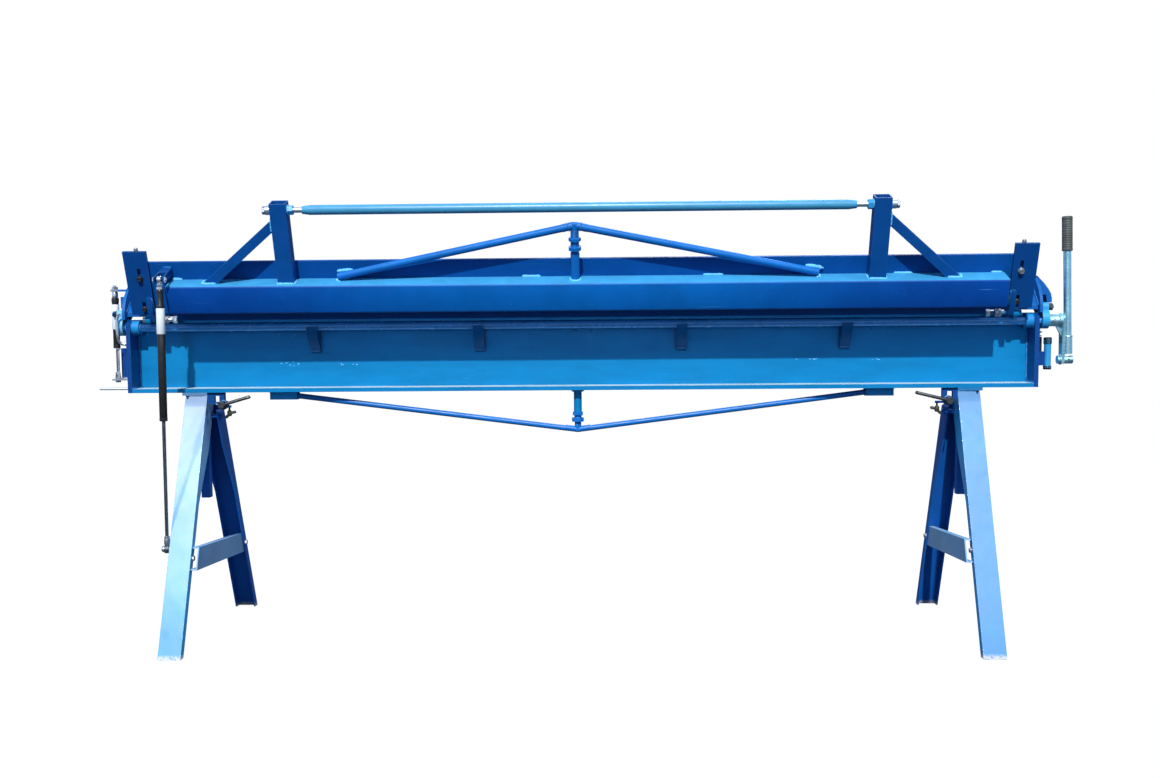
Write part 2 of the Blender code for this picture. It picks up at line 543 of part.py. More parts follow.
# Top clevis of the gas strut, on the left end of the leaf plate.
ey, ez = STRUT_EYE
ue = -SL * (ey - HINGE_Y) + CL * (ez - HINGE_Z)
we = -CL * (ey - HINGE_Y) - SL * (ez - HINGE_Z)
clev = extruded("strut_clevis", [(ue - 0.0110, PLATE_T + GAP), (ue + 0.0110, PLATE_T + GAP),
                                 (ue + 0.0080, we + 0.0090), (ue - 0.0080, we + 0.0090)],
                STRUT_XT - 0.0150, STRUT_XT + 0.0130, BLUE, fn=leaf)
boolean(clev, extruded("cut_clevis", [(ue - 0.030, we - 0.036), (ue + 0.030, we - 0.036),
                                      (ue + 0.030, we + 0.030), (ue - 0.030, we + 0.030)],
                       STRUT_XT - 0.0112, STRUT_XT + 0.0092, BLUE, fn=leaf))
weld(clev, turned("add_pin_in", (STRUT_XT + 0.0071, ey, ez), (1, 0, 0), [(0, 0.0039), (0.0040, 0.0039)], ZINC, 12),
     turned("add_pin_nut", (STRUT_XT + 0.0120, ey, ez), (1, 0, 0), [(0, 0.0062), (0.0050, 0.0062)], ZINC, 12),
     turned("add_pin_head", (STRUT_XT - 0.0180, ey, ez), (1, 0, 0), [(0, 0.0062), (0.0040, 0.0062)], ZINC, 12))

# Gas strut: rod end on the leg pin, cylinder above it.
py, pz = STRUT_PIN
P0, P1 = Vector((STRUT_X, py, pz)), Vector((STRUT_XT, ey, ez))
sd = (P1 - P0).normalized()
SLEN = (P1 - P0).length

srod = turned("strut_rod", P0 + sd * 0.0095, sd,
              [(0, 0.0075), (0.0215, 0.0075), (0.0215, 0.0050), (0.4485, 0.0050), (0.4485, 0.0087),
               (0.4635, 0.0087)], ZINC, 14)
weld(srod, turned("add_eye", P0 - Vector((0.0060, 0, 0)), (1, 0, 0), [(0, 0.0120), (0.0120, 0.0120)], ZINC, 16))
boolean(srod, rod("cut_eyehole", P0 - Vector((0.02, 0, 0)), P0 + Vector((0.02, 0, 0)), 0.0053, ZINC, 16))
set_origin(srod, P0)
CB = SLEN - 0.3920             # bottom of the cylinder
cyl = turned("strut_cylinder", P0 + sd * CB, sd,
             [(0.306, 0.0092), (0.020, 0.0092), (0.020, 0.0056), (0.0, 0.0056), (0.0, 0.0088),
              (0.004, 0.0108), (0.318, 0.0108), (0.322, 0.0084), (0.362, 0.0084), (0.365, 0.0055),
              (0.3850, 0.0055)], BLACK, 18)
weld(cyl, turned("add_topeye", P1 - Vector((0.0055, 0, 0)), (1, 0, 0), [(0, 0.0100), (0.0110, 0.0100)], BLACK, 16))
weld(cyl, turned("add_toppin", P1 - Vector((0.0062, 0, 0)), (1, 0, 0), [(0, 0.0041), (0.0122, 0.0041)], BLACK, 16))
set_origin(cyl, P0)

# -------------------------------------------------- clamp beam and drive
cz = CH_TOP + CLAMP_LIFT
H = CLAMP_H
c_out = [(CLAMP_Y0, cz), (CLAMP_Y1, cz), (CLAMP_Y1, cz + H), (CLAMP_Y0 + H, cz + H)]
wl = CLAMP_WALL
k = wl * (1 + math.sqrt(2))
c_in = [(CLAMP_Y0 + k + 0.004, cz + wl), (CLAMP_Y1 - wl, cz + wl), (CLAMP_Y1 - wl, cz + H - wl),
        (CLAMP_Y0 + H + wl * (math.sqrt(2) - 1) + 0.004, cz + H - wl)]
cb = hollow("clamp_beam", c_out, c_in, -BASE_HALF, BASE_HALF, BLUE)
for side, s in SIDES:          # nose cut back behind the leaf hinges
    a, b = sorted((s * 1.1430, s * 1.3200))
    boolean(cb, box("cut_nose_" + side, (a, -0.100, cz - 0.01), (b, -0.0735, cz + 0.030), BLUE))

LY = SHAFT_Y - ECC_OFF * math.cos(math.radians(45))
LZ = SHAFT_Z + ECC_OFF * math.sin(math.radians(45))
for side, s in SIDES:
    # end lug: closes the beam and carries the pin of the eccentric link
    a, b = sorted((s * LUG_X0, s * LUG_X1))
    pts = [(-0.0920, 0.9300), (-0.0400, 0.9300), (-0.0280, 0.9385), (CLAMP_Y1, cz), (CLAMP_Y1, cz + H),
           (0.0300, cz + H), (-0.0100, 1.0400), (-0.0450, 1.0220), (-0.0700, 0.9980), (-0.0860, 0.9720),
           (-0.0920, 0.9500)]
    lg = extruded("clamp_lug_plate_" + side, pts, a, b, BLUE)
    if s > 0:
        horn = [(1.3095, 1.0350), (1.3190, 1.0245), (1.3310, 1.0120), (1.3420, 0.9970), (1.3495, 0.9840),
                (1.3525, 0.9700), (1.3525, 0.9580), (1.3385, 0.9580), (1.3355, 0.9800), (1.3095, 0.9800)]
    else:
        horn = [(-1.3095, 0.9970), (-1.3330, 0.9970), (-1.3330, 0.9640), (-1.3260, 0.9580), (-1.3095, 0.9580)]
    weld(lg, extruded("add_horn_" + side, horn, -0.0400, -0.0040, BLUE, fn=lambda d, x, z: Vector((x, d, z))))
    weld(lg, turned("add_linkpin_" + side, (s * (LUG_X1 - 0.002), LY, LINK_Z), (s, 0, 0),
                    [(0, 0.0050), (0.0240, 0.0050), (0.0240, 0.0085 if s < 0 else 0.0095),
                     (0.0350, 0.0085 if s < 0 else 0.0095), (0.0350, 0.0050), (0.0385, 0.0050)], BLUE, 12))
    if s < 0:
        weld(lg, box("add_strut_head", (-1.3560, -0.0560, 1.0124), (-LUG_X1 + 0.002, -0.0340, 1.0180), BLUE))
    # link: strap round the eccentric and an eye on the pin
    a, b = sorted((s * LINK_X0, s * LINK_X1))
    link = rod("eccentric_link_" + side, (a, LY, LZ), (b, LY, LZ), 0.0270, BLUE_L, 24)
    weld(link, box("add_linkbar_" + side, (a + 0.0005, LY - 0.0120, LZ), (b - 0.0005, LY + 0.0120, LINK_Z), BLUE_L),
         rod("add_linktop_" + side, (a, LY, LINK_Z), (b, LY, LINK_Z), 0.0125, BLUE_L, 20))
    boolean(link, rod("cut_linkbore_" + side, (s * 1.29, LY, LZ), (s * 1.35, LY, LZ), ECC_R + 0.0026, BLUE_L, 24))
    boolean(link, rod("cut_linkpin_" + side, (s * 1.28, LY, LINK_Z), (s * 1.36, LY, LINK_Z), 0.0053, BLUE, 14))

# Shaft with an eccentric near each end.
shaft = turned("clamp_shaft", (-1.3335, SHAFT_Y, SHAFT_Z), (1, 0, 0), [(0, SHAFT_R), (1.3335 + 1.3645, SHAFT_R)],
               STEEL, 24)
for side, s in SIDES:
    a, b = sorted((s * (LINK_X0 + 0.0004), s * (LINK_X1 - 0.0004)))
    weld(shaft, rod("add_ecc_" + side, (a, LY, LZ), (b, LY, LZ), ECC_R, STEEL, 24))

# Lever: hub on the shaft, hanging plate, foot bar, socket and tube.
TB, TT = Vector((1.3925, SHAFT_Y, 0.8130)), Vector((1.3827, SHAFT_Y, 1.1800))
lever = turned("clamp_lever", (1.3352, SHAFT_Y, SHAFT_Z), (1, 0, 0),
               [(0.0300, SHAFT_R + 0.0003), (0, SHAFT_R + 0.0003), (0, 0.0170), (0.0270, 0.0170),
                (0.0300, 0.0190), (0.0380, 0.0190)], BLUE_L, 24)
pts = arc(SHAFT_Y, SHAFT_Z, 0.0190, 25, 155, 8) + [(SHAFT_Y - 0.0130, 0.7830), (SHAFT_Y + 0.0130, 0.7830)]
web = extruded("add_gusset", [(1.3560, 0.8925), (1.3730, 0.8925), (1.3730, 0.8600)], SHAFT_Y - 0.004,
               SHAFT_Y + 0.004, BLUE_L, fn=lambda d, x, z: Vector((x, d, z)))
weld(lever, extruded("add_leverplate", pts, 1.3715, 1.3800, BLUE_L), web,
     rod("add_foot_bar", (1.3625, SHAFT_Y, 0.7955), (1.4055, SHAFT_Y, 0.7955), 0.0118, BLUE_L, 18),
     rod("add_socket", TB - Vector((0, 0, 0.0015)), TB + (TT - TB).normalized() * 0.049, 0.0128, BLUE_L, 20),
     rod("add_tube", TB + Vector((0, 0, 0.002)), TT, 0.0107, BLUE_L, 20))
boolean(lever, rod("cut_leverbore", TB - Vector((0, 0, 0.010)), TT + (TT - TB).normalized() * 0.01, 0.0085, BLUE_L, 16))
boolean(lever, rod("cut_footbore", (1.3925, SHAFT_Y - 0.03, 0.7955), (1.3925, SHAFT_Y + 0.03, 0.7955), 0.0026, BLUE_L, 10))
GB = TB + (TT - TB) * ((1.1024 - TB.z) / (TT.z - TB.z))
GD = (TT - TB).normalized()
turned("lever_grip", GB, GD,
       [(0, 0.0110), (0, 0.0140), (0.003, 0.0147), (0.092, 0.0147), (0.0965, 0.0138), (0.098, 0.0110),
        (0.098, 0.0030), (0.0790, 0.0030), (0.0790, 0.0110)], RUBBER, 20, closed=True)

# Lift strut on the left: its rod stands on the end plate, the cylinder
# hangs from the clamp beam.
turned("lift_strut_cylinder", (XS, YS, 0.8500), (0, 0, 1),
       [(0.135, 0.0074), (0.014, 0.0074), (0.014, 0.0040), (0, 0.0040), (0, 0.0085), (0.003, 0.0095),
        (0.141, 0.0095), (0.144, 0.0060), (0.1621, 0.0060)], BLACK, 16)
turned("lift_strut_rod", (XS, YS, 0.7593), (0, 0, 1),
       [(0, 0.0072), (0.012, 0.0072), (0.012, 0.0034), (0.1900, 0.0034), (0.1900, 0.0070), (0.2000, 0.0070)],
       ZINC, 12)

# Right side: guide rod of the clamp beam in a sleeve on the end plate's
# arm, and the spring housing beside it.
turned("guide_sleeve", (XG, YG, 0.8183), (0, 0, 1),
       [(0.008, 0.0060), (0.0420, 0.0060), (0.0420, 0.0088), (0.0390, 0.0098), (0, 0.0098)], BLACK, 16)
turned("guide_rod", (XG, YG, 0.8380), (0, 0, 1), [(0, 0.0050), (0.9797 - 0.8380, 0.0050)], ZINC, 12)
turned("spring_housing", (XR, YG - 0.001, 0.7665), (0, 0, 1),
       [(0.010, 0.0070), (0.0, 0.0070), (0.0, 0.0088), (0.004, 0.0112), (0.0105, 0.0112), (0.0105, 0.0100),
        (0.0730, 0.0100), (0.0730, 0.0112), (0.0890, 0.0112), (0.0920, 0.0085)], BLUE_L, 18)

# --------------------------------------------- origins of the moving pieces
for ob in list(bpy.data.objects):
    n = ob.name
    if ob.hide_render:
        continue
    if n.startswith(("leaf_", "arm_bolt", "upright", "handle_", "strut_clevis")):
        set_origin(ob, (0, HINGE_Y, HINGE_Z))
    elif n in ("clamp_shaft", "clamp_lever", "lever_grip"):
        set_origin(ob, (0, SHAFT_Y, SHAFT_Z))
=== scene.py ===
import math
import random

import bmesh
import bpy
from mathutils import Matrix, Vector


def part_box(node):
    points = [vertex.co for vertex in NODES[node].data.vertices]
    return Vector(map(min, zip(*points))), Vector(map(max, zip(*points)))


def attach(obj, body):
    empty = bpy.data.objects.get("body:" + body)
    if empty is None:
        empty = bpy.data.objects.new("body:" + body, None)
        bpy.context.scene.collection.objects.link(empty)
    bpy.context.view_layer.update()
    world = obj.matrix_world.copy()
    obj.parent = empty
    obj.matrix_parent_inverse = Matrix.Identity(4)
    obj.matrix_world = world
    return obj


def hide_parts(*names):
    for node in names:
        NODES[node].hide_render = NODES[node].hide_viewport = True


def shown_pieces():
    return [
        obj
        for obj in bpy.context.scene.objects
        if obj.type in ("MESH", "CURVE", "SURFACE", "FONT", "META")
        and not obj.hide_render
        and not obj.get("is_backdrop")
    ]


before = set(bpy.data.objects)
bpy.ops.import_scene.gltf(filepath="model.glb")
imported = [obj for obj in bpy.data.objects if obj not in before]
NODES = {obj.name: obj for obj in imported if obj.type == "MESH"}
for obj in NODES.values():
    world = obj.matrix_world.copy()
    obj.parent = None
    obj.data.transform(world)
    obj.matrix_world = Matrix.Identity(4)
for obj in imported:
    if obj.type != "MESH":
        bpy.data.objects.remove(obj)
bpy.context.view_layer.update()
SCENE = bpy.context.scene
SIDES = (("left", -1), ("right", 1))

# ------------------------------------------------------------------ frames
HINGE_Y, HINGE_Z = -0.094, 0.930
CL, SL = math.cos(math.radians(20.0)), math.sin(math.radians(20.0))


def leaf(x, u, w):
    """A point on the bending leaf: x along it, u up it, w out of its front."""
    return Vector((x, HINGE_Y - SL * u - CL * w, HINGE_Z + CL * u - SL * w))


LU = leaf(0, 1, 0) - leaf(0, 0, 0)
LW = leaf(0, 0, 1) - leaf(0, 0, 0)
XX = Vector((1, 0, 0))


# ------------------------------------------------------------------ camera
def look(name, loc, yaw, pitch, roll, lens, shift_y):
    """A camera from its heading, tilt and roll in degrees."""
    cam = bpy.data.cameras.new(name)
    cam.sensor_width = 36.0
    cam.lens = lens
    cam.shift_y = shift_y
    cam.clip_start, cam.clip_end = 0.05, 100.0
    ob = bpy.data.objects.new(name, cam)
    SCENE.collection.objects.link(ob)
    y, p, r = math.radians(yaw), math.radians(pitch), math.radians(roll)
    fwd = Vector((-math.sin(y) * math.cos(p), math.cos(y) * math.cos(p), math.sin(p)))
    right = Vector((math.cos(y), math.sin(y), 0))
    up = right.cross(fwd)
    r2 = right * math.cos(r) + up * math.sin(r)
    u2 = -right * math.sin(r) + up * math.cos(r)
    m = Matrix((r2, u2, -fwd)).transposed().to_4x4()
    m.translation = Vector(loc)
    ob.matrix_world = m
    return ob


SCENE.camera = look("photo_camera", (0.1022, -3.8045, 0.934), 1.541, -5.02, -0.478,
                    1300.0 * 36.0 / 1160.0, 40.0 / 1160.0)
SCENE.view_settings.view_transform = "Standard"
SCENE.view_settings.look = "None"


# --------------------------------------------------------------- materials
class Net:
    """Short-hand for building a shader."""

    def __init__(self, name):
        self.m = bpy.data.materials.new(name)
        self.m.use_nodes = True
        self.t = self.m.node_tree
        self.t.nodes.clear()
        self.out = self.add("ShaderNodeOutputMaterial")
        self.bsdf = self.add("ShaderNodeBsdfPrincipled")
        self.link(self.bsdf, "BSDF", self.out, "Surface")
        self.co = self.add("ShaderNodeTexCoord")

    def add(self, kind, **props):
        n = self.t.nodes.new(kind)
        for k, v in props.items():
            setattr(n, k, v)
        return n

    def link(self, a, out, b, inp):
        self.t.links.new(a.outputs[out], b.inputs[inp])

    def put(self, node, inp, value):
        """Set an input to a number or colour, or join it to (node, output)."""
        if isinstance(value, tuple) and len(value) == 2 and hasattr(value[0], "outputs"):
            self.link(value[0], value[1], node, inp)
        else:
            if isinstance(value, (tuple, list)) and len(value) == 3 and \
                    len(getattr(node.inputs[inp], "default_value", (0,) * 3)) == 4:
                value = (*value, 1.0)
            node.inputs[inp].default_value = value

    def noise(self, scale, detail=2.0, rough=0.5, stretch=None, dist=0.0):
        n = self.add("ShaderNodeTexNoise")
        n.inputs["Scale"].default_value = scale
        n.inputs["Detail"].default_value = detail
        n.inputs["Roughness"].default_value = rough
        n.inputs["Distortion"].default_value = dist
        if stretch:
            mp = self.add("ShaderNodeMapping")
            mp.inputs["Scale"].default_value = stretch
            self.link(self.co, "Object", mp, "Vector")
            self.link(mp, "Vector", n, "Vector")
        else:
            self.link(self.co, "Object", n, "Vector")
        return n, "Fac"

    def math(self, op, a, b=0.0, c=None, clamp=False):
        n = self.add("ShaderNodeMath", operation=op, use_clamp=clamp)
        self.put(n, 0, a)
        self.put(n, 1, b)
        if c is not None:
            self.put(n, 2, c)
        return n, "Value"

    def ramp(self, v, lo, hi, out0=0.0, out1=1.0):
        n = self.add("ShaderNodeMapRange", clamp=True, interpolation_type="SMOOTHSTEP")
        self.put(n, "Value", v)
        n.inputs["From Min"].default_value = lo
        n.inputs["From Max"].default_value = hi
        n.inputs["To Min"].default_value = out0
        n.inputs["To Max"].default_value = out1
        return n, "Result"

    def mix(self, fac, a, b):
        n = self.add("ShaderNodeMix", data_type="RGBA")
        self.put(n, 0, fac)
        self.put(n, 6, a)
        self.put(n, 7, b)
        return n, 2

    def axis(self, which):
        if not hasattr(self, "_xyz"):
            self._xyz = self.add("ShaderNodeSeparateXYZ")
            self.link(self.co, "Object", self._xyz, "Vector")
        return self._xyz, which

    def band(self, which, lo, hi, soft=0.0006):
        """1 between lo and hi along an axis of the object, 0 outside."""
        a = self.ramp(self.axis(which), lo - soft, lo + soft)
        b = self.ramp(self.axis(which), hi - soft, hi + soft, 1.0, 0.0)
        return self.math("MULTIPLY", a, b)

    def facing_up(self):
        """1 on faces that look up in the object's rest pose."""
        x = self.add("ShaderNodeSeparateXYZ")
        self.link(self.co, "Normal", x, "Vector")
        return self.ramp((x, "Z"), 0.45, 0.75)

    def edges(self, radius, lo=0.0, hi=1.0):
        """1 on worn edges and 0 on the flats."""
        bv = self.add("ShaderNodeBevel", samples=4)
        bv.inputs["Radius"].default_value = radius
        g = self.add("ShaderNodeNewGeometry")
        d = self.add("ShaderNodeVectorMath", operation="DOT_PRODUCT")
        self.link(bv, "Normal", d, 0)
        self.link(g, "Normal", d, 1)
        return self.ramp((d, "Value"), 0.985, 0.80, lo, hi)

    def bump(self, *layers):
        """layers: (height, strength, distance)."""
        last = None
        for h, s, d in layers:
            b = self.add("ShaderNodeBump")
            b.inputs["Strength"].default_value = s
            b.inputs["Distance"].default_value = d
            self.put(b, "Height", h)
            if last is not None:
                self.link(last, "Normal", b, "Normal")
            last = b
        self.link(last, "Normal", self.bsdf, "Normal")

    def done(self, color, rough, metal=0.0, spec=0.5, coat=0.0, coat_rough=0.1):
        self.put(self.bsdf, "Base Color", color)
        self.put(self.bsdf, "Roughness", rough)
        self.put(self.bsdf, "Metallic", metal)
        self.bsdf.inputs["Specular IOR Level"].default_value = spec
        self.bsdf.inputs["Coat Weight"].default_value = coat
        self.bsdf.inputs["Coat Roughness"].default_value = coat_rough
        return self.m


def scaled(rgb, k):
    return tuple(min(1.0, c * k) for c in rgb)


def paint(name, rgb, rough=0.36, spec=0.35, coat=0.0, wear=(0.10, 0.36, 0.66), wear_amt=0.55,
          lift=0.10, streak=(3.0, 3.0, 3.0), bands=(), dusty=0.0, dents=1.0, top=None, tone=None):
    """Brushed-on gloss enamel over steel: cloudy tone, orange peel, thin
    spots on the edges, fine rubs, dust specks. bands are (mask maker,
    colour, roughness, metal) laid over the paint."""
    s = Net(name)
    cloud = s.ramp(s.noise(2.6, 4.0, 0.55, streak), 0.30, 0.72)
    patch = s.ramp(s.noise(23.0, 5.0, 0.6), 0.35, 0.75)
    col = s.mix(cloud, scaled(rgb, 1.0 - lift), scaled(rgb, 1.0 + lift))
    col = s.mix(s.math("MULTIPLY", patch, 0.22), col, scaled(rgb, 1.22))
    if tone:
        # a change of tone over part of the piece; the beam uses it for painted shade and the left front leg for a
        # painted sheen
        make, c2 = tone
        col = s.mix(make(s), col, s.mix(cloud, scaled(c2, 1.0 - lift), scaled(c2, 1.0 + lift)))
    if top:
        # faces that look up get a lighter colour: a painted highlight for the light falling on them
        make, c2 = top
        t = s.mix(cloud, scaled(c2, 0.90), scaled(c2, 1.10))
        col = s.mix(s.math("MULTIPLY", make(s), s.ramp(patch, 0.0, 1.0, 0.85, 1.0)), col, t)
    # fine rubs along the length and specks of dust caught in the paint
    rub = s.math("MULTIPLY", s.ramp(s.noise(1.0, 2.0, 0.5, (7.0, 420.0, 420.0)), 0.70, 0.78),
                 s.ramp(s.noise(5.0, 2.0), 0.50, 0.62))
    speck = s.math("MULTIPLY", s.ramp(s.noise(260.0, 1.0), 0.71, 0.76), s.ramp(s.noise(9.0, 2.0), 0.48, 0.60))
    marks = s.math("ADD", s.math("MULTIPLY", rub, 0.45), s.math("MULTIPLY", speck, 0.16), clamp=True)
    col = s.mix(marks, col, wear)
    worn = s.math("MULTIPLY", s.edges(0.0016), s.ramp(s.noise(48.0, 4.0, 0.65), 0.36, 0.62, 0.15, 1.0))
    worn = s.math("MULTIPLY", worn, wear_amt)
    col = s.mix(worn, col, wear)
    r = s.ramp(s.noise(31.0, 4.0, 0.6), 0.25, 0.75, rough - 0.05, rough + 0.09)
    r = s.math("ADD", r, s.math("MULTIPLY", marks, 0.15), clamp=True)
    metal = 0.0
    if dusty:
        d = s.math("MULTIPLY", s.ramp(s.noise(6.0, 6.0, 0.7), 0.42, 0.70), dusty)
        col = s.mix(d, col, (0.30, 0.33, 0.36))
        r = s.math("ADD", r, s.math("MULTIPLY", d, 0.35), clamp=True)
    for make, c2, r2, m2 in bands:
        mask = make(s)
        col = s.mix(mask, col, c2)
        n = s.add("ShaderNodeMix", data_type="FLOAT")
        s.put(n, 0, mask)
        s.put(n, 2, r)
        s.put(n, 3, r2)
        r = (n, 0)
        if m2:
            metal = s.math("MULTIPLY", mask, m2) if metal == 0.0 else s.math("MAXIMUM", metal, s.math("MULTIPLY", mask, m2))
    s.bump((s.noise(620.0, 1.0), 0.10, 0.0004), (s.noise(150.0, 2.0), 0.10, 0.0006),
           (s.noise(7.0, 2.0), 0.25 * dents, 0.0025))
    return s.done(col, r, metal, spec, coat, 0.12)


def plated(name, rgb, rough=0.30, brush=(60.0, 60.0, 900.0), stain=(0.30, 0.30, 0.28), bands=(), grime=0.35):
    """Zinc-plated or bare steel: brushed grain, cloudy plating, grime in patches."""
    s = Net(name)
    cloud = s.ramp(s.noise(34.0, 5.0, 0.65), 0.30, 0.72)
    col = s.mix(cloud, scaled(rgb, 0.80), scaled(rgb, 1.12))
    g = s.math("MULTIPLY", s.ramp(s.noise(85.0, 5.0, 0.7), 0.50, 0.72), grime)
    col = s.mix(g, col, stain)
    grain = s.noise(1.0, 2.0, 0.6, brush)
    r = s.ramp(grain, 0.25, 0.75, rough - 0.08, rough + 0.14)
    r = s.math("ADD", r, s.math("MULTIPLY", g, 0.4), clamp=True)
    metal = 0.95
    for make, c2, r2, m2 in bands:
        mask = make(s)
        col = s.mix(mask, col, c2)
        n = s.add("ShaderNodeMix", data_type="FLOAT")
        s.put(n, 0, mask)
        s.put(n, 2, r)
        s.put(n, 3, r2)
        r = (n, 0)
        k = s.add("ShaderNodeMix", data_type="FLOAT")
        s.put(k, 0, mask)
        s.put(k, 2, metal)
        s.put(k, 3, m2)
        metal = (k, 0)
    s.bump((grain, 0.12, 0.0003), (s.noise(260.0, 3.0), 0.10, 0.0003))
    return s.done(col, r, metal, 0.5)


def satin(name, rgb, rough=0.4, spec=0.45, lift=0.25, scratch=(0.10, 0.10, 0.11), amount=0.5, bands=(), grain=900.0):
    """Black tube, moulded plastic and pale sleeves."""
    s = Net(name)
    col = s.mix(s.ramp(s.noise(40.0, 4.0, 0.6), 0.3, 0.7), scaled(rgb, 1.0 - lift), scaled(rgb, 1.0 + lift))
    rub = s.math("MULTIPLY", s.ramp(s.noise(1.0, 3.0, 0.6, (420.0, 420.0, 9.0)), 0.62, 0.74), amount)
    col = s.mix(rub, col, scratch)
    edge = s.math("MULTIPLY", s.edges(0.0009), amount)
    col = s.mix(edge, col, scratch)
    r = s.ramp(s.noise(70.0, 3.0), 0.3, 0.7, rough - 0.06, rough + 0.08)
    metal = 0.0
    for make, c2, r2, m2 in bands:
        mask = make(s)
        col = s.mix(mask, col, c2)
        n = s.add("ShaderNodeMix", data_type="FLOAT")
        s.put(n, 0, mask)
        s.put(n, 2, r)
        s.put(n, 3, r2)
        r = (n, 0)
        if m2:
            metal = s.math("MULTIPLY", mask, m2)
    s.bump((s.noise(grain, 2.0), 0.12, 0.0003))
    return s.done(col, r, metal, spec)


BLUE = (0.0015, 0.095, 0.470)          # deep enamel
ZINC = (0.66, 0.70, 0.74)

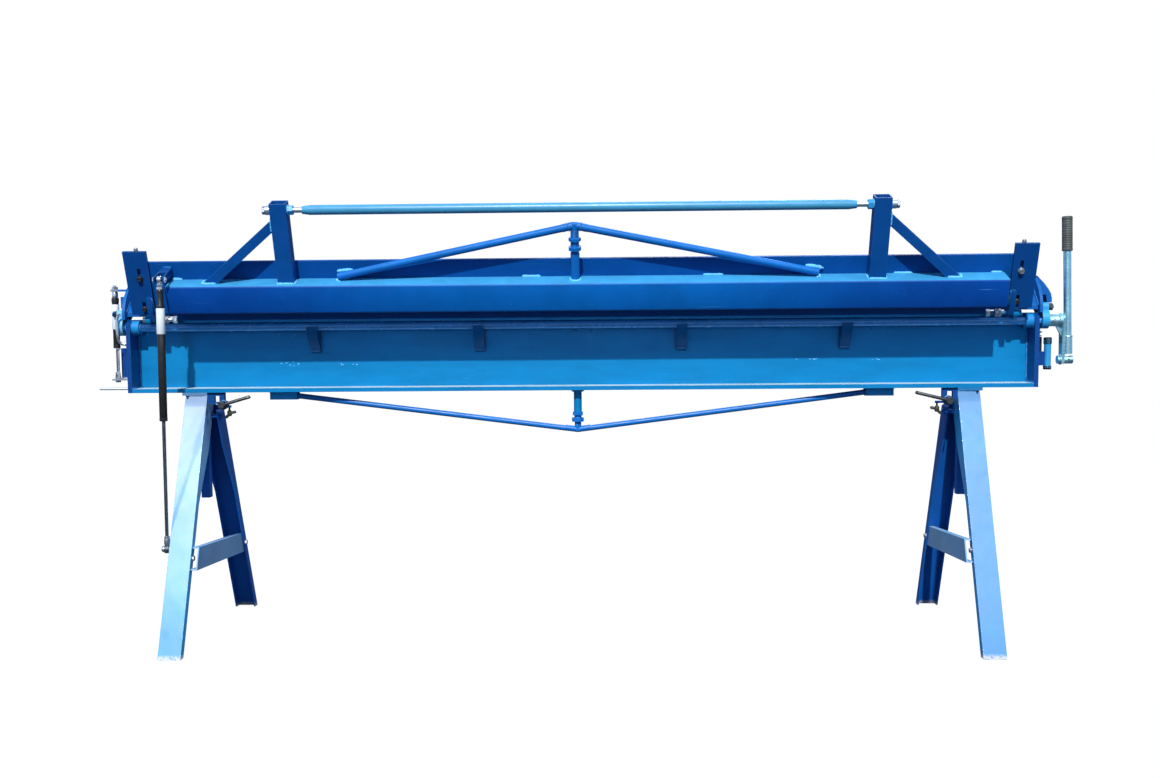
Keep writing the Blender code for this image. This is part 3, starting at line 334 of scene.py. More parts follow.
M = {
    # leaf plate: base darkened as painted shade, for a face turned down away from the light
    "panel": paint("paint_panel", (0.0005, 0.059, 0.255), rough=0.42, spec=0.16, wear=(0.04, 0.30, 0.62)),
    # stiffener box: base darkened as painted shade for its down-turned face; the pale edge colour is partly wear and
    # partly a painted highlight on the fold
    "box": paint("paint_box", (0.0005, 0.050, 0.275), rough=0.40, spec=0.16, wear=(0.12, 0.50, 0.85),
                 tone=(lambda s: s.ramp(s.math("ABSOLUTE", s.axis("X")), 0.25, 1.05, 1.0, 0.0), (0.0007, 0.100, 0.380)),
                 # up-facing top strip of the box: painted highlight for the light falling on it
                 top=(lambda s: s.facing_up(), (0.040, 0.270, 0.510))),
    "beam": paint("paint_beam", (0.0010, 0.145, 0.328), rough=0.38, spec=0.14, wear=(0.05, 0.40, 0.75),
                  streak=(2.0, 9.0, 9.0),
                  # brackets standing in front of the web under the shaft: painted shade, darker for the shadow they sit
                  # in
                  tone=(lambda s: s.math("MULTIPLY", s.band("Y", -0.095, -0.0190), s.band("Z", 0.8200, 0.9180)),
                        (0.0008, 0.070, 0.190)),
                  # top of the lower flange: painted highlight for the sun falling on it
                  top=(lambda s: s.math("MULTIPLY", s.facing_up(), s.band("Z", 0.70, 0.7325)), (0.560, 0.660, 0.660))),
    # uprights and arms: bases darkened as painted shade, for faces turned down away from the light
    "upright": paint("paint_upright", (0.0010, 0.060, 0.255), rough=0.38, spec=0.22, wear=(0.05, 0.34, 0.66)),
    "arm": paint("paint_arm", (0.0006, 0.046, 0.205), rough=0.40, spec=0.20, wear=(0.04, 0.30, 0.62)),
    "truss": paint("paint_truss", (0.0020, 0.120, 0.430), rough=0.36, spec=0.30, wear=(0.05, 0.34, 0.66)),
    "plate_end": paint("paint_end", (0.0010, 0.042, 0.200), rough=0.38, spec=0.2, wear=(0.05, 0.34, 0.66),
                       bands=((lambda s: s.band("X", -1.2906, -1.26), (0.012, 0.210, 0.520), 0.36, 0.0),
                              (lambda s: s.band("X", 1.26, 1.2906), (0.012, 0.210, 0.520), 0.36, 0.0),
                              (lambda s: s.math("MULTIPLY", s.band("X", -1.45, -1.3034), s.band("Z", 0.70, 0.7625)),
                               (0.50, 0.55, 0.60), 0.34, 0.9))),
    "leg_front": paint("paint_leg_front", (0.0040, 0.196, 0.440), rough=0.42, spec=0.6, coat=0.6,
                       # paler towards the top: a painted sheen for the glare on the upper half of the leg
                       tone=(lambda s: s.ramp(s.axis("Z"), 0.20, 0.68), (0.1000, 0.230, 0.440)),
                       wear=(0.35, 0.55, 0.75), wear_amt=0.35,
                       bands=((lambda s: s.band("X", -1.30, -1.1561), ZINC, 0.3, 0.95),
                              (lambda s: s.math("MULTIPLY", s.band("Z", -0.01, 0.010, 0.006),
                                                s.ramp(s.noise(120.0, 4.0, 0.7), 0.35, 0.55)),
                               (0.42, 0.44, 0.44), 0.8, 0.0))),
    # right front leg: a darker copy of the left leg's paint, painted with less sheen than the left
    "leg_front_right": paint("paint_leg_front_right", (0.0020, 0.165, 0.420), rough=0.42, spec=0.6, coat=0.45,
                             wear=(0.30, 0.52, 0.75), wear_amt=0.35,
                             bands=((lambda s: s.math("MULTIPLY", s.band("Z", -0.01, 0.010, 0.006),
                                                      s.ramp(s.noise(120.0, 4.0, 0.7), 0.35, 0.55)),
                                     (0.42, 0.44, 0.44), 0.8, 0.0),)),
    "leg_rear": paint("paint_leg_rear", (0.0030, 0.088, 0.380), rough=0.42, spec=0.28, wear=(0.05, 0.30, 0.60),
                      bands=((lambda s: s.math("MULTIPLY", s.band("Z", -0.01, 0.010, 0.006),
                                               s.ramp(s.noise(120.0, 4.0, 0.7), 0.35, 0.55)),
                              (0.38, 0.40, 0.40), 0.8, 0.0),)),
    # strut clevis: darkened as painted shade, as dark as the shaded panel behind it
    "clevis": paint("paint_clevis", (0.0010, 0.045, 0.190), rough=0.42, spec=0.18, wear=(0.05, 0.30, 0.60)),
    # right hinge pin: dark blue as painted shade, for the shadow it lies in
    "pin_right": paint("paint_pin_right", (0.0060, 0.120, 0.300), rough=0.40, spec=0.35, wear=(0.30, 0.55, 0.75)),
    "spreader": paint("paint_spreader", (0.160, 0.330, 0.560), rough=0.5, spec=0.3, dusty=0.45),
    "clamp": paint("paint_clamp", (0.0015, 0.090, 0.330), rough=0.38, spec=0.22, streak=(2.0, 9.0, 9.0),
                   wear=(0.05, 0.34, 0.66),
                   bands=((lambda s: s.math("MULTIPLY", s.band("X", -1.40, -1.3345), s.band("Z", 1.0080, 1.0300)),
                           (0.34, 0.38, 0.42), 0.4, 0.9),)),
    "handle": paint("paint_handle", (0.045, 0.250, 0.440), rough=0.34, spec=0.45, wear=(0.35, 0.60, 0.80),
                    wear_amt=0.4, streak=(6.0, 40.0, 40.0)),
    "light_pale": paint("paint_light_pale", (0.130, 0.400, 0.600), rough=0.36, spec=0.45, wear=(0.45, 0.68, 0.80)),
    "light": paint("paint_light", (0.020, 0.270, 0.580), rough=0.36, spec=0.45, wear=(0.40, 0.66, 0.85)),
    # weld beads: a lighter blue than the paint, a painted highlight for the light the beads catch
    "weld": paint("paint_weld", (0.100, 0.480, 0.860), rough=0.30, spec=0.6, wear=(0.60, 0.80, 0.95),
                  wear_amt=0.7, dents=0.0),
    "weld_dark": paint("paint_weld_dark", (0.0020, 0.120, 0.380), rough=0.32, spec=0.5, dents=0.0),
    # clamp shaft: base lifted as painted light, for the light it lacks in the leaf's shadow
    "shaft": paint("paint_shaft", (0.0350, 0.290, 0.740), rough=0.22, spec=0.80, wear=(0.12, 0.30, 0.55),
                   streak=(3.0, 30.0, 30.0)),
    "lever": plated("plated_lever", (0.44, 0.80, 0.93), rough=0.32,
                    bands=((lambda s: s.math("MULTIPLY", s.band("X", 1.32, 1.3690), s.band("Z", -0.026, 0.026)),
                            (0.012, 0.190, 0.440), 0.38, 0.0),)),
    "zinc": plated("plated_zinc", ZINC),
    "pin": plated("plated_pin", ZINC, bands=tuple(
        (lambda s, q=q: s.band("X", *sorted((q * 1.1930, q * 1.2409))), (0.012, 0.060, 0.150), 0.5, 0.3) for q in (-1, 1))),
    "zinc_dull": plated("plated_dull", (0.42, 0.46, 0.50), rough=0.42, grime=0.6),
    "steel": plated("steel_oiled", (0.085, 0.095, 0.105), rough=0.40, stain=(0.05, 0.045, 0.04), grime=0.5),
    "rod": plated("rod_ground", (0.26, 0.28, 0.30), rough=0.20, brush=(500.0, 500.0, 40.0), grime=0.15),
    "chrome": plated("plated_bright", (0.85, 0.88, 0.92), rough=0.16, grime=0.1),
    "black": satin("enamel_black", (0.010, 0.011, 0.012), rough=0.34),
    "knob": satin("knob_dark", (0.030, 0.032, 0.022), rough=0.45, scratch=(0.16, 0.17, 0.12)),
    "grip": satin("grip_rubber_look", (0.058, 0.066, 0.065), rough=0.55, scratch=(0.22, 0.24, 0.24), amount=0.6),
    "sleeve": satin("sleeve_pale", (0.62, 0.68, 0.71), rough=0.38, lift=0.05, scratch=(0.55, 0.58, 0.62), amount=0.35),
}

# ---------------------------------------------- cleaning the carried nodes
def tidy_group():
    """Joins the facets, drops the stored normals, keeps creases sharp."""
    g = bpy.data.node_groups.new("tidy_facets", "GeometryNodeTree")
    g.interface.new_socket("Geometry", in_out="INPUT", socket_type="NodeSocketGeometry")
    g.interface.new_socket("Geometry", in_out="OUTPUT", socket_type="NodeSocketGeometry")
    gi, go = g.nodes.new("NodeGroupInput"), g.nodes.new("NodeGroupOutput")
    rm = g.nodes.new("GeometryNodeRemoveAttribute")
    rm.inputs["Name"].default_value = "custom_normal"
    mg = g.nodes.new("GeometryNodeMergeByDistance")
    mg.inputs["Distance"].default_value = 0.00001
    sm = g.nodes.new("GeometryNodeSetShadeSmooth")
    sm.domain = "FACE"
    sm.inputs["Shade Smooth"].default_value = True
    an = g.nodes.new("GeometryNodeInputMeshEdgeAngle")
    cp = g.nodes.new("FunctionNodeCompare")
    cp.data_type, cp.operation = "FLOAT", "GREATER_THAN"
    cp.inputs[1].default_value = math.radians(33.0)
    sh = g.nodes.new("GeometryNodeSetShadeSmooth")
    sh.domain = "EDGE"
    sh.inputs["Shade Smooth"].default_value = False
    ln = g.links.new
    ln(gi.outputs[0], rm.inputs["Geometry"])
    ln(rm.outputs["Geometry"], mg.inputs["Geometry"])
    ln(mg.outputs["Geometry"], sm.inputs["Geometry"])
    ln(sm.outputs["Geometry"], sh.inputs["Geometry"])
    ln(an.outputs["Unsigned Angle"], cp.inputs[0])
    ln(cp.outputs[0], sh.inputs["Selection"])
    ln(sh.outputs["Geometry"], go.inputs[0])
    return g


TIDY = tidy_group()


def dress(node, mat, bevel=0.0008):
    ob = NODES[node]
    for sl in ob.material_slots:
        sl.material = M[mat] if isinstance(mat, str) else mat
    m = ob.modifiers.new("tidy", "NODES")
    m.node_group = TIDY
    if bevel:
        b = ob.modifiers.new("edge_round", "BEVEL")
        b.width, b.segments = bevel, 2
        b.limit_method, b.angle_limit = "ANGLE", math.radians(33.0)
        b.use_clamp_overlap = True
        b.harden_normals = True
        b.miter_outer = "MITER_ARC"


LOOKS = {
    "leaf_plate": ("panel", 0.0010), "leaf_box": ("box", 0.0), "base_channel": ("beam", 0.0009),
    "handle_tube": ("handle", 0.0006), "clamp_beam": ("clamp", 0.0012), "clamp_shaft": ("shaft", 0.0005),
    "clamp_lever": ("lever", 0.0004), "lower_truss_screw": ("truss", 0.0006),
    "leaf_truss_screw": ("truss", 0.0006), "strut_clevis": ("clevis", 0.0006),
    "strut_rod": ("rod", 0.0004), "strut_cylinder": ("black", 0.0004),
    "lift_strut_rod": ("rod", 0.0004), "lift_strut_cylinder": ("black", 0.0004), "guide_rod": ("zinc", 0.0005),
    "guide_sleeve": ("black", 0.0005), "spring_housing": ("light", 0.0005),
}
for side, s in SIDES:
    LOOKS.update({
        "end_plate_" + side: ("plate_end", 0.0008), "lower_truss_rod_" + side: ("truss", 0.0006),
        "front_leg_" + side: ("leg_front" if s < 0 else "leg_front_right", 0.0014), "rear_leg_" + side: ("leg_rear", 0.0014),
        "spreader_" + side: ("spreader", 0.0012), "stand_post_" + side: ("leg_rear", 0.0010),
        "stand_bolt_" + side: ("leg_rear", 0.0006), "clamp_lug_" + side: ("arm", 0.0010),
        "clamp_screw_" + side: ("steel", 0.0006), "lock_knob_" + side: ("knob", 0.0006),
        "leaf_arm_" + side: ("arm", 0.0008), "upright_" + side: ("upright", 0.0020),
        "handle_brace_" + side: ("upright", 0.0015), "handle_bolt_" + side: ("zinc", 0.0006),
        "arm_bolt_" + side: ("steel" if s < 0 else "zinc_dull", 0.0005), "height_screw_" + side: ("zinc_dull", 0.0004),
        "hinge_pin_" + side: ("pin" if s < 0 else "pin_right", 0.0005), "leaf_truss_bar_" + side: ("truss", 0.0006),
        "clamp_lug_plate_" + side: ("clamp", 0.0008), "eccentric_link_" + side: ("light_pale" if s < 0 else "light", 0.0006),
    })
for node, (mat, bevel) in LOOKS.items():
    if node in NODES:
        dress(node, mat, bevel)
missing = sorted(set(NODES) - set(LOOKS) - {"lever_grip"})
if missing:
    raise ValueError("no look for %s" % missing)


# ------------------------------------------------------------ mesh helpers
def basis(axis):
    a = Vector(axis).normalized()
    h = Vector((0, 0, 1)) if abs(a.z) < 0.9 else Vector((0, 1, 0))
    s = a.cross(h).normalized()
    return a, s, s.cross(a).normalized()


def piece(name, bm, body, mat, smooth=35.0, bevel=0.0):
    bmesh.ops.recalc_face_normals(bm, faces=bm.faces)
    me = bpy.data.meshes.new(name)
    bm.to_mesh(me)
    bm.free()
    me.materials.append(M[mat])
    ob = bpy.data.objects.new(name, me)
    SCENE.collection.objects.link(ob)
    me.shade_smooth()
    me.set_sharp_from_angle(angle=math.radians(smooth))
    if bevel:
        b = ob.modifiers.new("edge_round", "BEVEL")
        b.width, b.segments = bevel, 2
        b.limit_method, b.angle_limit = "ANGLE", math.radians(35.0)
        b.harden_normals = True
    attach(ob, body)
    return ob


def lathe(bm, p, axis, prof, seg=20, closed=False, shape=None, phase=0.0):
    """Turn the profile [(d, r)] about the axis; shape(k, d, r) may change
    the radius round the ring."""
    a, s, t = basis(axis)
    p = Vector(p)
    rings = []
    for d, r in prof:
        ring = []
        for k in range(seg):
            th = phase + 2 * math.pi * k / seg
            rr = shape(th, d, r) if shape else r
            ring.append(bm.verts.new(p + a * d + (s * math.cos(th) + t * math.sin(th)) * rr))
        rings.append(ring)
    m = len(rings)
    for i in range(m if closed else m - 1):
        A, B = rings[i], rings[(i + 1) % m]
        for k in range(seg):
            j = (k + 1) % seg
            bm.faces.new((A[k], A[j], B[j], B[k]))
    if not closed:
        bm.faces.new(rings[0][::-1])
        bm.faces.new(rings[-1])


def hexnut(bm, p, axis, flats, height, bore=0.0, phase=0.0, dome=False):
    """Chamfered hexagon nut (bore > 0) or bolt head."""
    a, s, t = basis(axis)
    p = Vector(p)
    n = 36
    rc = flats / 2 * 0.97

    def hexr(th):
        q = (th + math.pi / 6) % (math.pi / 3) - math.pi / 6
        return flats / 2 / math.cos(q)

    rows = []
    spec = []
    if bore:
        spec.append(("r", bore, 0.0))
    spec += [("r", rc, 0.0), ("h", 0, 0), ("h", 0, 1), ("r", rc, height)]
    if bore:
        spec.append(("r", bore, height))
    elif dome:
        spec += [("r", rc * 0.6, height + flats * 0.03)]
    for kind, r, d in spec:
        ring = []
        for k in range(n):
            th = phase + 2 * math.pi * k / n
            if kind == "r":
                rr, dd = r, d
            else:
                rr = hexr(th - phase)
                cut = (rr - rc) * 0.577
                dd = height - cut if d else cut
            ring.append(bm.verts.new(p + a * dd + (s * math.cos(th) + t * math.sin(th)) * rr))
        rows.append(ring)
    m = len(rows)
    for i in range(m if bore else m - 1):
        A, B = rows[i], rows[(i + 1) % m]
        for k in range(n):
            j = (k + 1) % n
            bm.faces.new((A[k], A[j], B[j], B[k]))
    if not bore:
        bm.faces.new(rows[0][::-1])
        bm.faces.new(rows[-1])


def washer(bm, p, axis, ro, ri, h, seg=28):
    lathe(bm, p, axis, [(0, ri), (0, ro - 0.0003), (0.0003, ro), (h - 0.0003, ro), (h, ro - 0.0003), (h, ri)],
          seg, closed=True)


def thread(bm, p, axis, length, r, pitch, seg=14, depth=None):
    """A stud with a real single-start thread."""
    a, s, t = basis(axis)
    p = Vector(p)
    depth = depth or pitch * 0.55
    steps = max(2, int(round(length / (pitch / 4))))
    rings = []
    for i in range(steps + 1):
        d = length * i / steps
        ring = []
        for k in range(seg):
            th = 2 * math.pi * k / seg
            ph = (d / pitch - k / seg) % 1.0
            rr = r - depth * abs(2 * ph - 1)
            if i in (0, steps):
                rr = r - depth
            ring.append(bm.verts.new(p + a * d + (s * math.cos(th) + t * math.sin(th)) * rr))
        rings.append(ring)
    for A, B in zip(rings, rings[1:]):
        for k in range(seg):
            j = (k + 1) % seg
            bm.faces.new((A[k], A[j], B[j], B[k]))
    bm.faces.new(rings[0][::-1])
    bm.faces.new(rings[-1])


def bead(bm, pts, up, w, h, seed=1, pitch=0.0034, rough=0.14, closed=False):
    """A weld bead along pts: a lumpy run of overlapping scallops, w wide
    and h high towards up."""
    rnd = random.Random(seed)
    pts = [Vector(p) for p in pts]
    up = Vector(up).normalized()
    seg = [(b - a).length for a, b in zip(pts, pts[1:])]
    total = sum(seg)
    n = max(4, int(total / (pitch / 2.2)))
    wob = [rnd.uniform(-1, 1) for _ in range(n + 3)]
    lump = [rnd.uniform(-1, 1) for _ in range(n // 4 + 4)]
    rings = []
    for i in range(n + 1):
        d = total * i / n
        k, acc = 0, 0.0
        while k < len(seg) - 1 and acc + seg[k] < d:
            acc += seg[k]
            k += 1
        a, b = pts[k], pts[k + 1]
        t = (b - a).normalized()
        c = a + t * (d - acc)
        side = t.cross(up).normalized()
        f = 1.0 + 0.13 * math.cos(2 * math.pi * d / pitch) + rough * 0.6 * wob[i] \
            + rough * (lump[i // 4] * (1 - (i % 4) / 4) + lump[i // 4 + 1] * (i % 4) / 4)
        if not closed:
            e = min(d, total - d) / (w * 0.75)
            f *= max(0.12, math.sqrt(max(0.0, min(1.0, e))))
        ring = []
        for q in range(8):
            th = 2 * math.pi * q / 8
            ring.append(bm.verts.new(c + side * (math.cos(th) * w / 2 * f) + up * (math.sin(th) * h * f)))
        rings.append(ring)
    for A, B in zip(rings, rings[1:]):
        for q in range(8):
            j = (q + 1) % 8
            bm.faces.new((A[q], A[j], B[j], B[q]))
    bm.faces.new(rings[0][::-1])
    bm.faces.new(rings[-1])


def ring_pts(c, axis, r, n=24, a0=0.0, a1=360.0):
    a, s, t = basis(axis)
    c = Vector(c)
    return [c + (s * math.cos(math.radians(a0 + (a1 - a0) * k / n)) +
                 t * math.sin(math.radians(a0 + (a1 - a0) * k / n))) * r for k in range(n + 1)]


def ring_bead(bm, c, axis, r, w, seed, out=0.6, a0=0.0, a1=360.0):
    """A weld round a tube or boss that stands on a face: axis points away
    from the face."""
    a, s, t = basis(axis)
    c = Vector(c)
    rnd = random.Random(seed)
    n = max(10, int(2 * math.pi * r * (a1 - a0) / 360.0 / 0.0016))
    full = abs(a1 - a0 - 360.0) < 1e-6
    rows = []
    cnt = n if full else n + 1
    for i in range(cnt):
        th = math.radians(a0 + (a1 - a0) * i / n)
        rad = s * math.cos(th) + t * math.sin(th)
        d = r * th
        f = 1.0 + 0.13 * math.cos(2 * math.pi * d / 0.0034) + rnd.uniform(-0.08, 0.08)
        ring = []
        for q in range(8):
            ph = 2 * math.pi * q / 8
            ring.append(bm.verts.new(c + rad * (r + math.cos(ph) * w / 2 * f) + a * (math.sin(ph) * w / 2 * f)))
        rows.append(ring)
    for i in range(cnt if full else cnt - 1):
        A, B = rows[i], rows[(i + 1) % cnt]
        for q in range(8):
            j = (q + 1) % 8
            bm.faces.new((A[q], A[j], B[j], B[q]))
    if not full:
        bm.faces.new(rows[0][::-1])
        bm.faces.new(rows[-1])


def blob(bm, c, r, seed, squash=(1, 1, 1), axis=(0, 0, 1)):
    """A drop of weld spatter or a small weld tack."""
    a, s, t = basis(axis)
    rnd = random.Random(seed)
    c = Vector(c)
    n, m = 10, 5
    rings = []
    for i in range(1, m):
        ph = math.pi * i / m
        ring = []
        for k in range(n):
            th = 2 * math.pi * k / n
            f = r * (1 + rnd.uniform(-0.16, 0.16))
            ring.append(bm.verts.new(c + s * (math.cos(th) * math.sin(ph) * f * squash[0]) +
                                     t * (math.sin(th) * math.sin(ph) * f * squash[1]) +
                                     a * (math.cos(ph) * f * squash[2])))
        rings.append(ring)
    top = bm.verts.new(c + a * r * squash[2])
    bot = bm.verts.new(c - a * r * squash[2])
    for A, B in zip(rings, rings[1:]):
        for k in range(n):
            j = (k + 1) % n
            bm.faces.new((A[k], A[j], B[j], B[k]))
    for k in range(n):
        j = (k + 1) % n
        bm.faces.new((top, rings[0][j], rings[0][k]))
        bm.faces.new((bot, rings[-1][k], rings[-1][j]))


def sweep(bm, pts, r, seg=12, flat=None):
    """A round bar along a smooth path; flat=(r1, r2) makes it oval."""
    pts = [Vector(p) for p in pts]
    n = len(pts)
    ref = None
    rings = []
    for i, p in enumerate(pts):
        t = (pts[min(n - 1, i + 1)] - pts[max(0, i - 1)]).normalized()
        if ref is None:
            _, ref, _ = basis(t)
        s = (ref - t * ref.dot(t)).normalized()
        q = t.cross(s)
        ref = s
        ra, rb = flat or (r, r)
        rings.append([bm.verts.new(p + s * (math.cos(2 * math.pi * k / seg) * ra) +
                                   q * (math.sin(2 * math.pi * k / seg) * rb)) for k in range(seg)])
    for A, B in zip(rings, rings[1:]):
        for k in range(seg):
            j = (k + 1) % seg
            bm.faces.new((A[k], A[j], B[j], B[k]))
    bm.faces.new(rings[0][::-1])
    bm.faces.new(rings[-1])


def spline(ctrl, n=8):
    """Points on a smooth curve through ctrl."""
    c = [Vector(p) for p in ctrl]
    c = [2 * c[0] - c[1]] + c + [2 * c[-1] - c[-2]]
    out = []
    for i in range(1, len(c) - 2):
        p0, p1, p2, p3 = c[i - 1:i + 3]
        for k in range(n):
            t = k / n
            out.append(0.5 * ((2 * p1) + (p2 - p0) * t + (2 * p0 - 5 * p1 + 4 * p2 - p3) * t * t +
                              (3 * p1 - p0 - 3 * p2 + p3) * t ** 3))
    out.append(c[-2])
    return out


# ======================================================== the bending leaf
WF = 0.0103                    # back face of the stiffener box
BT = 0.1230                    # its top
BB = 0.0412                    # its bottom
BW = 0.0750                    # its front

TRX = -.0045                                       # the screw posts of the trusses
ANCHOR = {-1: .8185, 1: .8225}                     # anchors of the lower truss
XM = {-1: 1.2310, 1: 1.2270}                       # bolts of the end arms
UPR = {-1: (.7865, .8320), 1: (.8030, .8490)}      # uprights, from inboard to outboard
BRACE = {-1: (.2863, 1.0255), 1: (.2880, 1.0365)}   # brace: height at the upright, foot on the box

bm = bmesh.new()
corner = LU * 0.7 + LW * 0.7
# intermittent welds between the plate and the top of the box
for i, (xa, xb, w) in enumerate(((-1.144, -1.113, .0090), (-0.156, -0.102, .0080), (0.350, 0.407, .0072),
                                 (0.878, 0.931, .0072), (1.147, 1.179, .0072))):
    bead(bm, [leaf(xa, BT + .0012, WF + .0014), leaf(xb, BT + .0012, WF + .0014)], corner, w, w * .55, 10 + i)
# under the box
for i in range(9):
    x = -1.10 + 0.275 * i
    bead(bm, [leaf(x - .022, BB - .0010, WF + .0012), leaf(x + .022, BB - .0010, WF + .0012)], LW * .7 - LU * .7,
         .0068, .0038, 30 + i)
for side, s in SIDES:
    # foot of the upright on the box
    x0, x1 = UPR[s]
    y0, y1 = .020, .060
    c = BT + .0010
    bead(bm, [leaf(s * (x0 - .002), c, y1 + .0012), leaf(s * (x1 + .002), c, y1 + .0012)], LU * .7 + LW * .7,
         .0078, .0046, 50 + s)
    bead(bm, [leaf(s * (x0 - .0010), c, y0 + .004), leaf(s * (x0 - .0010), c, y1)], LU * .7 - XX * s * .7,
         .0064, .0036, 60 + s)
    bead(bm, [leaf(s * (x1 + .0010), c, y0 + .004), leaf(s * (x1 + .0010), c, y1)], LU * .7 + XX * s * .7,
         .0064, .0036, 70 + s)
    # foot of the brace, front edge and outer end
    ut, xf = BRACE[s]
    slope = (ut - BT) / (xf - x1)
    hu = .0130 * math.sqrt(1 + slope * slope)
    hx = hu / slope
    bead(bm, [leaf(s * (xf - hx), c, .0537), leaf(s * (xf + hx), c, .0537)], LU * .7 + LW * .7, .0075, .0044, 80 + s)
    bead(bm, [leaf(s * (xf + hx + .0010), c, .0290), leaf(s * (xf + hx + .0010), c, .0530)], LU * .8 + XX * s * .5,
         .0080, .0044, 90 + s)
    bead(bm, [leaf(s * (xf - hx - .0010), c, .0290), leaf(s * (xf - hx - .0010), c, .0510)], LU * .8 - XX * s * .5,
         .0060, .0034, 95 + s)
    # head of the brace on the upright
    for sw in (.0275, .0525):
        o = .0008 if sw > .04 else -.0008
        bead(bm, [leaf(s * (x1 + .0012), ut - hu, sw + o), leaf(s * (x1 + .0012), ut + hu, sw + o)],
             XX * s * .6 + LW * (.7 if sw > .04 else -.7), .0058, .0034, 100 + s)
    bead(bm, [leaf(s * (x1 + .0014), ut + .0005 + hu, .0290), leaf(s * (x1 + .0014), ut + .0005 + hu, .0510)],
         LU * .7 + XX * s * .7, .0062, .0036, 110 + s)
    bead(bm, [leaf(s * (x1 + .0014), ut - .0005 - hu, .0290), leaf(s * (x1 + .0014), ut - .0005 - hu, .0510)],
         -LU * .7 + XX * s * .7, .0062, .0036, 115 + s)
    # end of the truss bar: a heavy run to the plate and a drop below it
    a, b = ((.632, .1502), (.684, .1412)) if s > 0 else ((.626, .1490), (.674, .1452))
    bead(bm, [leaf(s * a[0], a[1], .0150), leaf(s * (a[0] + b[0]) / 2, (a[1] + b[1]) / 2 + .001, .0165),
              leaf(s * b[0], b[1], .0150)], LU * .6 + LW * .6, .0115, .0062, 120 + s, rough=.2)
    bead(bm, [leaf(s * .640, .1262, .0200), leaf(s * .676, .1238, .0200)], LW * .6 - LU * .2, .0075, .0045, 125 + s)
    blob(bm, leaf(s * .6705, BT + .0020, .034), .0052, 130 + s, (1, 1, .8), LU)
    blob(bm, leaf(s * .6640, BT + .0010, .040), .0034, 135 + s, (1, 1, .7), LU)
# post of the upper truss
ring_bead(bm, leaf(TRX, BT + .0010, .042), LU, .0136, .0070, 140)
piece("weld_runs_leaf", bm, "bending_leaf", "weld")

# darker tacks that don't catch the light
bm = bmesh.new()
for side, s in SIDES:
    d = (leaf(s * .668, .1340, .0290) - leaf(TRX + s * .0160, .2740, .042)).normalized()
    ring_bead(bm, leaf(TRX + s * .0168, .2738, .042), d, .0100, .0050, 150 + s)
    bead(bm, [leaf(s * 1.2045, .030, .0210), leaf(s * 1.2045, .074, .0265)], LW * .6 - XX * s * .6, .0050, .003, 160 + s)
    bead(bm, [leaf(s * 1.2185, .036, .0212), leaf(s * 1.2185, .074, .0212)], LW * .6 + XX * s * .6, .0050, .003, 165 + s)
XT, EY, EZ = -1.1520, -0.2246, 1.0400      # top pivot of the gas strut
ue = -SL * (EY - HINGE_Y) + CL * (EZ - HINGE_Z)
for q in (-1, 1):
    bead(bm, [leaf(XT - .0140, ue + q * .0116, WF + .0010), leaf(XT + .0120, ue + q * .0116, WF + .0010)],
         LW * .7 + LU * .7 * q, .0048, .0028, 170 + q)
piece("weld_tacks_leaf", bm, "bending_leaf", "weld_dark")

# apex of the upper truss: a lug that joins the two bars over the post
bm = bmesh.new()
pts = [leaf(TRX + x, u, .042) for x, u in ((-.034, .2700), (-.018, .2738), (0, .2768), (.018, .2738), (.034, .2700))]
sweep(bm, spline(pts, 5), .0112, 14)
piece("leaf_truss_apex", bm, "bending_leaf", "truss")

# nuts and washers of the handle bolts, and lower bolts of the arms
bm = bmesh.new()
bz = bmesh.new()
for side, s in SIDES:
    x0, x1 = UPR[s]
    hexnut(bm, leaf(s * (x0 - .0010), .328, .040), (-s, 0, 0), .0240, .0150, .0075, phase=.3)
    washer(bm, leaf(s * (x0 - .0002), .328, .040), (-s, 0, 0), .0150, .0075, .0018)
    hexnut(bz, leaf(s * (x1 + .0155), .328, .040), (s, 0, 0), .0200, .0080, 0, phase=.1 * s)
    washer(bm, leaf(s * (x1 + .0002), .328, .040), (s, 0, 0), .0150, .0128, .0025)
piece("handle_nuts", bm, "bending_leaf", "light", smooth=30)
piece("handle_bolt_heads", bz, "bending_leaf", "zinc_dull", smooth=30)

bm = bmesh.new()
for side, s in SIDES:
    xm = s * XM[s]
    washer(bm, leaf(xm, .0400, .0204), LW, .0078, .0042, .0016)
    hexnut(bm, leaf(xm, .0400, .0220), LW, .0115, .0052, 0, phase=.2)
    thread(bm, leaf(xm, .0400, .0110), LW, .0100, .0042, .0012)
piece("arm_bolts_lower", bm, "bending_leaf", "steel", smooth=30)
for side, s in SIDES:
    # hexagon socket head over the upper bolt
    bm = bmesh.new()
    lathe(bm, leaf(s * XM[s], .1300, .0224), LW, [(0, .0066), (.0006, .0072), (.0064, .0072), (.0072, .0066), (.0072, .0034),
                                                (.0068, .0032), (.0067, .0024)], 24)
    piece("arm_bolt_cap_" + side, bm, "bending_leaf", "steel" if s < 0 else "zinc_dull",
          smooth=30)

# nuts and a short thread on the top pivot of the gas strut
bm = bmesh.new()
hexnut(bm, (XT + .0133, EY, EZ), (1, 0, 0), .0132, .0042, 0)
thread(bm, (XT + .0165, EY, EZ), (1, 0, 0), .0030, .0036, .0010, seg=12)
hexnut(bm, (XT - .0153, EY, EZ), (-1, 0, 0), .0132, .0034, 0)
piece("clevis_pin_nuts", bm, "bending_leaf", "chrome", smooth=30)

